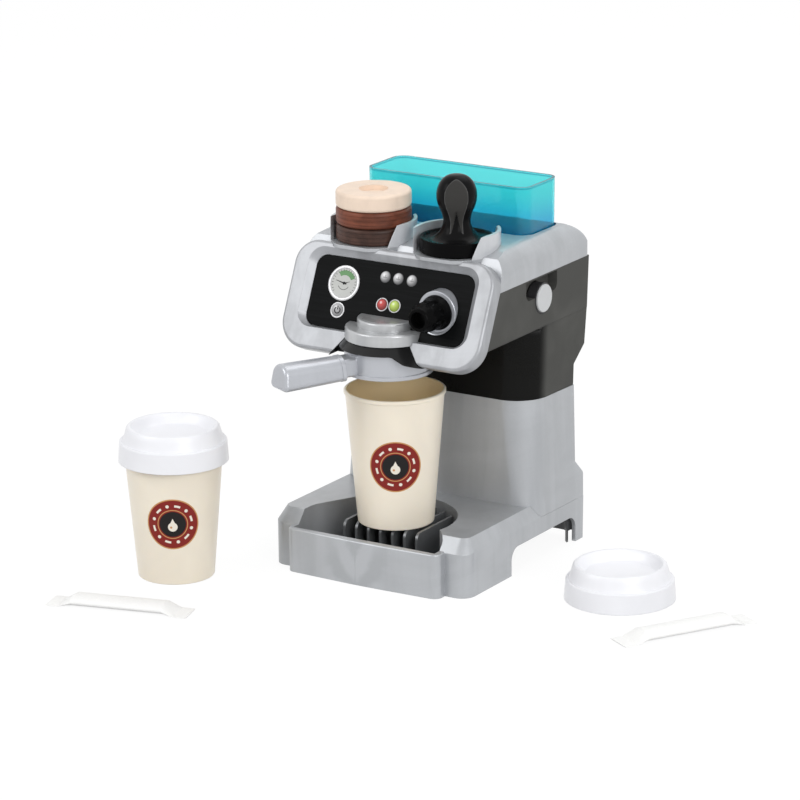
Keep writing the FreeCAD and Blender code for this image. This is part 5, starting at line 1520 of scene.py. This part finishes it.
@dataclass
class TamperGrip:
    """The tamper's round grip with a spoon-shaped facet in front and behind, each split by a wedge below.

    Heights are shares of the grip's height. A keep is what the facet leaves of the round form's radius.
    """

    node: str = "tamper_handle"
    facing: float = 30.0
    segments: int = 160
    rows: int = 90
    widest: float = 80.0
    crown: float = 0.74
    crown_tall: float = 0.22
    bulb: float = 0.62
    bulb_keep: float = 0.82
    waist: float = 0.36
    waist_keep: float = 0.88
    foot: float = 0.12
    foot_keep: float = 0.93
    wedge_top: float = 0.46
    wedge_spread: float = 62.0

    def profile(self) -> list[tuple[float, float]]:
        """The grip's outline, read from its plain solid.

        Returns:
            Radius and height from the foot to the top, in millimetres.
        """
        low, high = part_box(self.node)
        middle = (low + high) / 2
        outline: dict[float, float] = {}
        for vert in frame["nodes"][self.node].data.vertices:
            height = round(vert.co.z / MM, 2)
            radius = math.hypot(vert.co.x - middle.x, vert.co.y - middle.y) / MM
            outline[height] = max(outline.get(height, 0), radius)
        known = sorted(outline.items())
        points = []
        for row in range(self.rows + 1):
            # The rows lie closer together near the foot and the top
            even = row / self.rows
            share = 0.5 * even + 0.25 * (1 - math.cos(math.pi * even))
            height = known[0][0] + (known[-1][0] - known[0][0]) * share
            k = max(i for i in range(len(known) - 1) if known[i][0] <= height + 1e-6)
            (z0, r0), (z1, r1) = known[k], known[k + 1]
            points.append((r0 + (r1 - r0) * (height - z0) / (z1 - z0), height))
        return points

    def depth(self, radius: float, share: float, angle: float) -> float:
        """How far the facet lies below the round form.

        Args:
            radius: the round form's radius.
            share: height as a share of the grip's height.
            angle: degrees from the facet's middle.

        Returns:
            The depth in millimetres, 0 outside the facet.
        """
        in_wedge = share < self.wedge_top and abs(angle) < (self.wedge_top - share) * self.wedge_spread
        if in_wedge or abs(angle) >= self.widest:
            return 0.0
        if share > self.bulb:
            rise = max(0, (share - self.crown) / self.crown_tall) ** 2
            keep = self.bulb_keep + (1 - self.bulb_keep) * rise
        elif share > self.waist:
            rise = (share - self.waist) / (self.bulb - self.waist)
            keep = self.waist_keep + (self.bulb_keep - self.waist_keep) * rise
        else:
            keep = self.foot_keep + (self.waist_keep - self.foot_keep) * share / self.waist
        keep = min(1.0, keep)
        if share < self.foot:
            keep += (1 - keep) * (self.foot - share) / self.foot
        return max(0.0, radius - keep * radius / math.cos(math.radians(angle)))

    def build(self) -> None:
        """Make the grip in the place of its plain solid."""
        low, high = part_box(self.node)
        middle = (low + high) / 2 / MM
        outline = self.profile()
        foot, top = outline[0][1], outline[-1][1]
        draft = Draft()
        for radius, height in outline:
            for i in range(self.segments):
                turn = 360 * i / self.segments
                angle = (turn + 90) % 180 - 90
                cut = self.depth(radius, (height - foot) / (top - foot), angle)
                reach, way = radius - cut, math.radians(turn + self.facing)
                draft.verts.append(Vector((middle.x + reach * math.sin(way),
                                           middle.y - reach * math.cos(way), height)))
                draft.flat.append((cut, height))
        for row in range(self.rows):
            for i in range(self.segments):
                j = (i + 1) % self.segments
                a, b = row * self.segments, (row + 1) * self.segments
                draft.faces.append((a + i, a + j, b + j, b + i))
        last = self.rows * self.segments
        draft.faces.append(tuple(reversed(range(self.segments))))
        draft.faces.append(tuple(range(last, last + self.segments)))
        obj = draft.build("tamper_grip", Finish.FACETED, 24)
        register(obj, BODY_OF[self.node])
        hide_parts(self.node)


@dataclass
class TopItems(Dressed):
    """The tank, the discs and the tamper."""

    finishes: dict[str, Finish] = field(default_factory=lambda: {
        "water_tank": Finish.TANK, "coffee_disc_dark": Finish.DARK, "coffee_disc_brown": Finish.BROWN,
        "coffee_disc_cream": Finish.CREAM, "tamper_base": Finish.GLOSS})

    def build(self) -> None:
        """Dress the pieces on the machine's top."""
        self.dress_all()
        TamperGrip().build()


@dataclass
class Cup:
    """A cup with its round print, which faces the viewer of the photograph."""

    node: str
    x: float
    y: float
    foot: float
    badge_z: float
    badge_turn: float
    tall: float = 94.7
    foot_r: float = 26.5
    top_r: float = 34.5
    half_wall: float = 0.8
    badge_out: float = 0.07
    badge_in: float = 0.05
    badge_rings: int = 14
    badge_steps: int = 72

    @property
    def flare(self) -> float:
        """How much the radius grows with each millimetre of height."""
        return (self.top_r - self.foot_r) / self.tall

    def build(self) -> None:
        """Dress the cup and wrap the print round it."""
        obj = merged_copy(self.node, Finish.STEEL)
        plastic = CupPlastic(self.node + "_plastic", self.x, self.y, self.foot,
                             self.foot_r - self.half_wall, self.flare)
        obj.data.materials.clear()
        obj.data.materials.append(plastic.build())
        self.build_badge()

    def wrapped(self, u: float, v: float, out: float) -> Vector:
        """A point of the print, laid on the cup's cone.

        Args:
            u: millimetres to the right of the print's centre.
            v: millimetres above it.
            out: how far it stands off the cup.

        Returns:
            The point in the frame, in millimetres.
        """
        z = self.badge_z + v
        radius = self.foot_r + self.flare * (z - self.foot)
        turn = self.badge_turn + u / radius
        reach = radius + out
        return Vector((self.x + reach * math.sin(turn), self.y - reach * math.cos(turn), z))

    def build_badge(self) -> None:
        """The print: a thin round sheet that follows the cup, with its own flat coordinates."""
        rings, steps = self.badge_rings, self.badge_steps
        draft = Draft()
        for out in (self.badge_out, -self.badge_in):
            draft.verts.append(self.wrapped(0, 0, out))
            draft.flat.append((0, 0))
            for k in range(1, rings + 1):
                for i in range(steps):
                    r, angle = BADGE_R * k / rings, 2 * math.pi * i / steps
                    u, v = r * math.cos(angle), r * math.sin(angle)
                    draft.verts.append(self.wrapped(u, v, out))
                    draft.flat.append((u, v))
        layer = 1 + rings * steps
        for base, flip in ((0, False), (layer, True)):
            for i in range(steps):
                j = (i + 1) % steps
                loops = [(base, base + 1 + i, base + 1 + j)]
                for k in range(rings - 1):
                    a, b = base + 1 + k * steps, base + 1 + (k + 1) * steps
                    loops.append((a + i, b + i, b + j, a + j))
                draft.faces += [tuple(reversed(loop)) if flip else loop for loop in loops]
        rim = 1 + (rings - 1) * steps
        for i in range(steps):
            j = (i + 1) % steps
            draft.faces.append((rim + i, layer + rim + i, layer + rim + j, rim + j))
        badge = draft.build(self.node + "_badge", Finish.BADGE, 60)
        register(badge, BODY_OF[self.node])


@dataclass
class TableItems(Dressed):
    """Both lids and both sugar sticks."""

    finishes: dict[str, Finish] = field(default_factory=lambda: {
        "second_cup_lid": Finish.LID, "loose_lid": Finish.LID,
        "left_sugar_stick": Finish.STICK, "right_sugar_stick": Finish.STICK})

    def build(self) -> None:
        """Dress the lids and the sticks."""
        self.dress_all()


# Studio

@dataclass
class Studio:
    """The floor, the lights, the surroundings and the camera of the photograph."""

    azimuth: float = 32.32
    elevation: float = 16.47
    roll: float = -0.588
    distance: float = 2871.95
    aim: tuple[float, float] = (-21.12, 104.79)
    lens: float = 183.519
    lamps: tuple[tuple[Point, float, float], ...] = (
        ((-1.3, -1.7, 1.5), 1.3, 18.0), ((1.7, -1.0, 1.0), 1.2, 19.0), ((0.2, 0.9, 1.9), 1.4, 9.0))
    lamp_aim: Point = (0, 0, 0.12)
    world: float = 0.58
    sensor: float = 36.0
    floor_reach: float = 14.0
    floor_z: float = -0.0002

    def build_camera(self) -> None:
        """The photograph's camera."""
        az, el, roll = (math.radians(v) for v in (self.azimuth, self.elevation, self.roll))
        back = Vector((math.sin(az) * math.cos(el), -math.cos(az) * math.cos(el), math.sin(el)))
        right = Vector((math.cos(az), math.sin(az), 0))
        up = back.cross(right)
        place = (right * self.aim[0] + up * self.aim[1] + back * self.distance) * MM
        across = right * math.cos(roll) + up * math.sin(roll)
        upward = up * math.cos(roll) - right * math.sin(roll)
        data = bpy.data.cameras.new("photo_camera")
        data.lens, data.sensor_width, data.sensor_fit = self.lens, self.sensor, "HORIZONTAL"
        data.clip_start, data.clip_end = 0.05, 60
        camera = linked("photo_camera", data)
        turn = Matrix((across, upward, back)).transposed().to_4x4()
        camera.matrix_world = Matrix.Translation(place) @ turn
        bpy.context.scene.camera = camera

    def build_lights(self) -> None:
        """Soft lamps that look at the machine."""
        for i, (place, size, power) in enumerate(self.lamps):
            data = bpy.data.lights.new(f"soft_lamp_{i + 1}", "AREA")
            data.shape, data.size, data.energy = "SQUARE", size, power
            lamp = linked(data.name, data)
            lamp.location = place
            lamp.rotation_euler = (Vector(place) - Vector(self.lamp_aim)).to_track_quat("Z", "Y").to_euler()

    def build_world(self) -> None:
        """White to the camera, in mirrors and through glass, soft and plain as light on the object."""
        world = bpy.data.worlds.new("studio")
        world.use_nodes = True
        tree = world.node_tree
        tree.nodes.clear()
        path = tree.nodes.new("ShaderNodeLightPath")
        seen = path.outputs["Is Camera Ray"]
        for kind in ("Is Glossy Ray", "Is Transmission Ray"):
            either = tree.nodes.new("ShaderNodeMath")
            either.operation = "MAXIMUM"
            tree.links.new(seen, either.inputs[0])
            tree.links.new(path.outputs[kind], either.inputs[1])
            seen = either.outputs[0]
        mix = tree.nodes.new("ShaderNodeMixShader")
        out = tree.nodes.new("ShaderNodeOutputWorld")
        tree.links.new(seen, mix.inputs[0])
        for i, strength in enumerate((self.world, 1.0)):
            light = tree.nodes.new("ShaderNodeBackground")
            light.inputs["Color"].default_value = (1, 1, 1, 1)
            light.inputs["Strength"].default_value = strength
            tree.links.new(light.outputs[0], mix.inputs[i + 1])
        tree.links.new(mix.outputs[0], out.inputs["Surface"])
        bpy.context.scene.world = world

    def build_floor(self) -> None:
        """A wide pale floor."""
        mesh = bpy.data.meshes.new("studio_floor")
        far = self.floor_reach
        corners = [(-far, -far, 0), (far, -far, 0), (far, far, 0), (-far, far, 0)]
        mesh.from_pydata(corners, [], [(0, 1, 2, 3)])
        floor = linked("studio_floor", mesh)
        floor.data.materials.append(StudioFloor().build())
        floor.location.z = self.floor_z

    def build(self) -> None:
        """Set up the whole studio."""
        self.build_camera()
        self.build_lights()
        self.build_world()
        self.build_floor()
        bpy.context.scene.view_settings.view_transform = "Standard"


def main() -> None:
    """Build the finished object in order and report each piece."""
    Shells().build()
    PanelPrints().build()
    GroupHead().build()
    Knob().build()
    TopItems().build()
    Cup("cup", x=0.0, y=-46.0, foot=34.9, badge_z=82.0, badge_turn=0.56).build()
    Cup("second_cup", x=-124.8, y=-134.0, foot=0.0, badge_z=45.0, badge_turn=0.56).build()
    TableItems().build()
    Studio().build()
    log.info("sizes written")


if __name__ == "__main__":
    main()
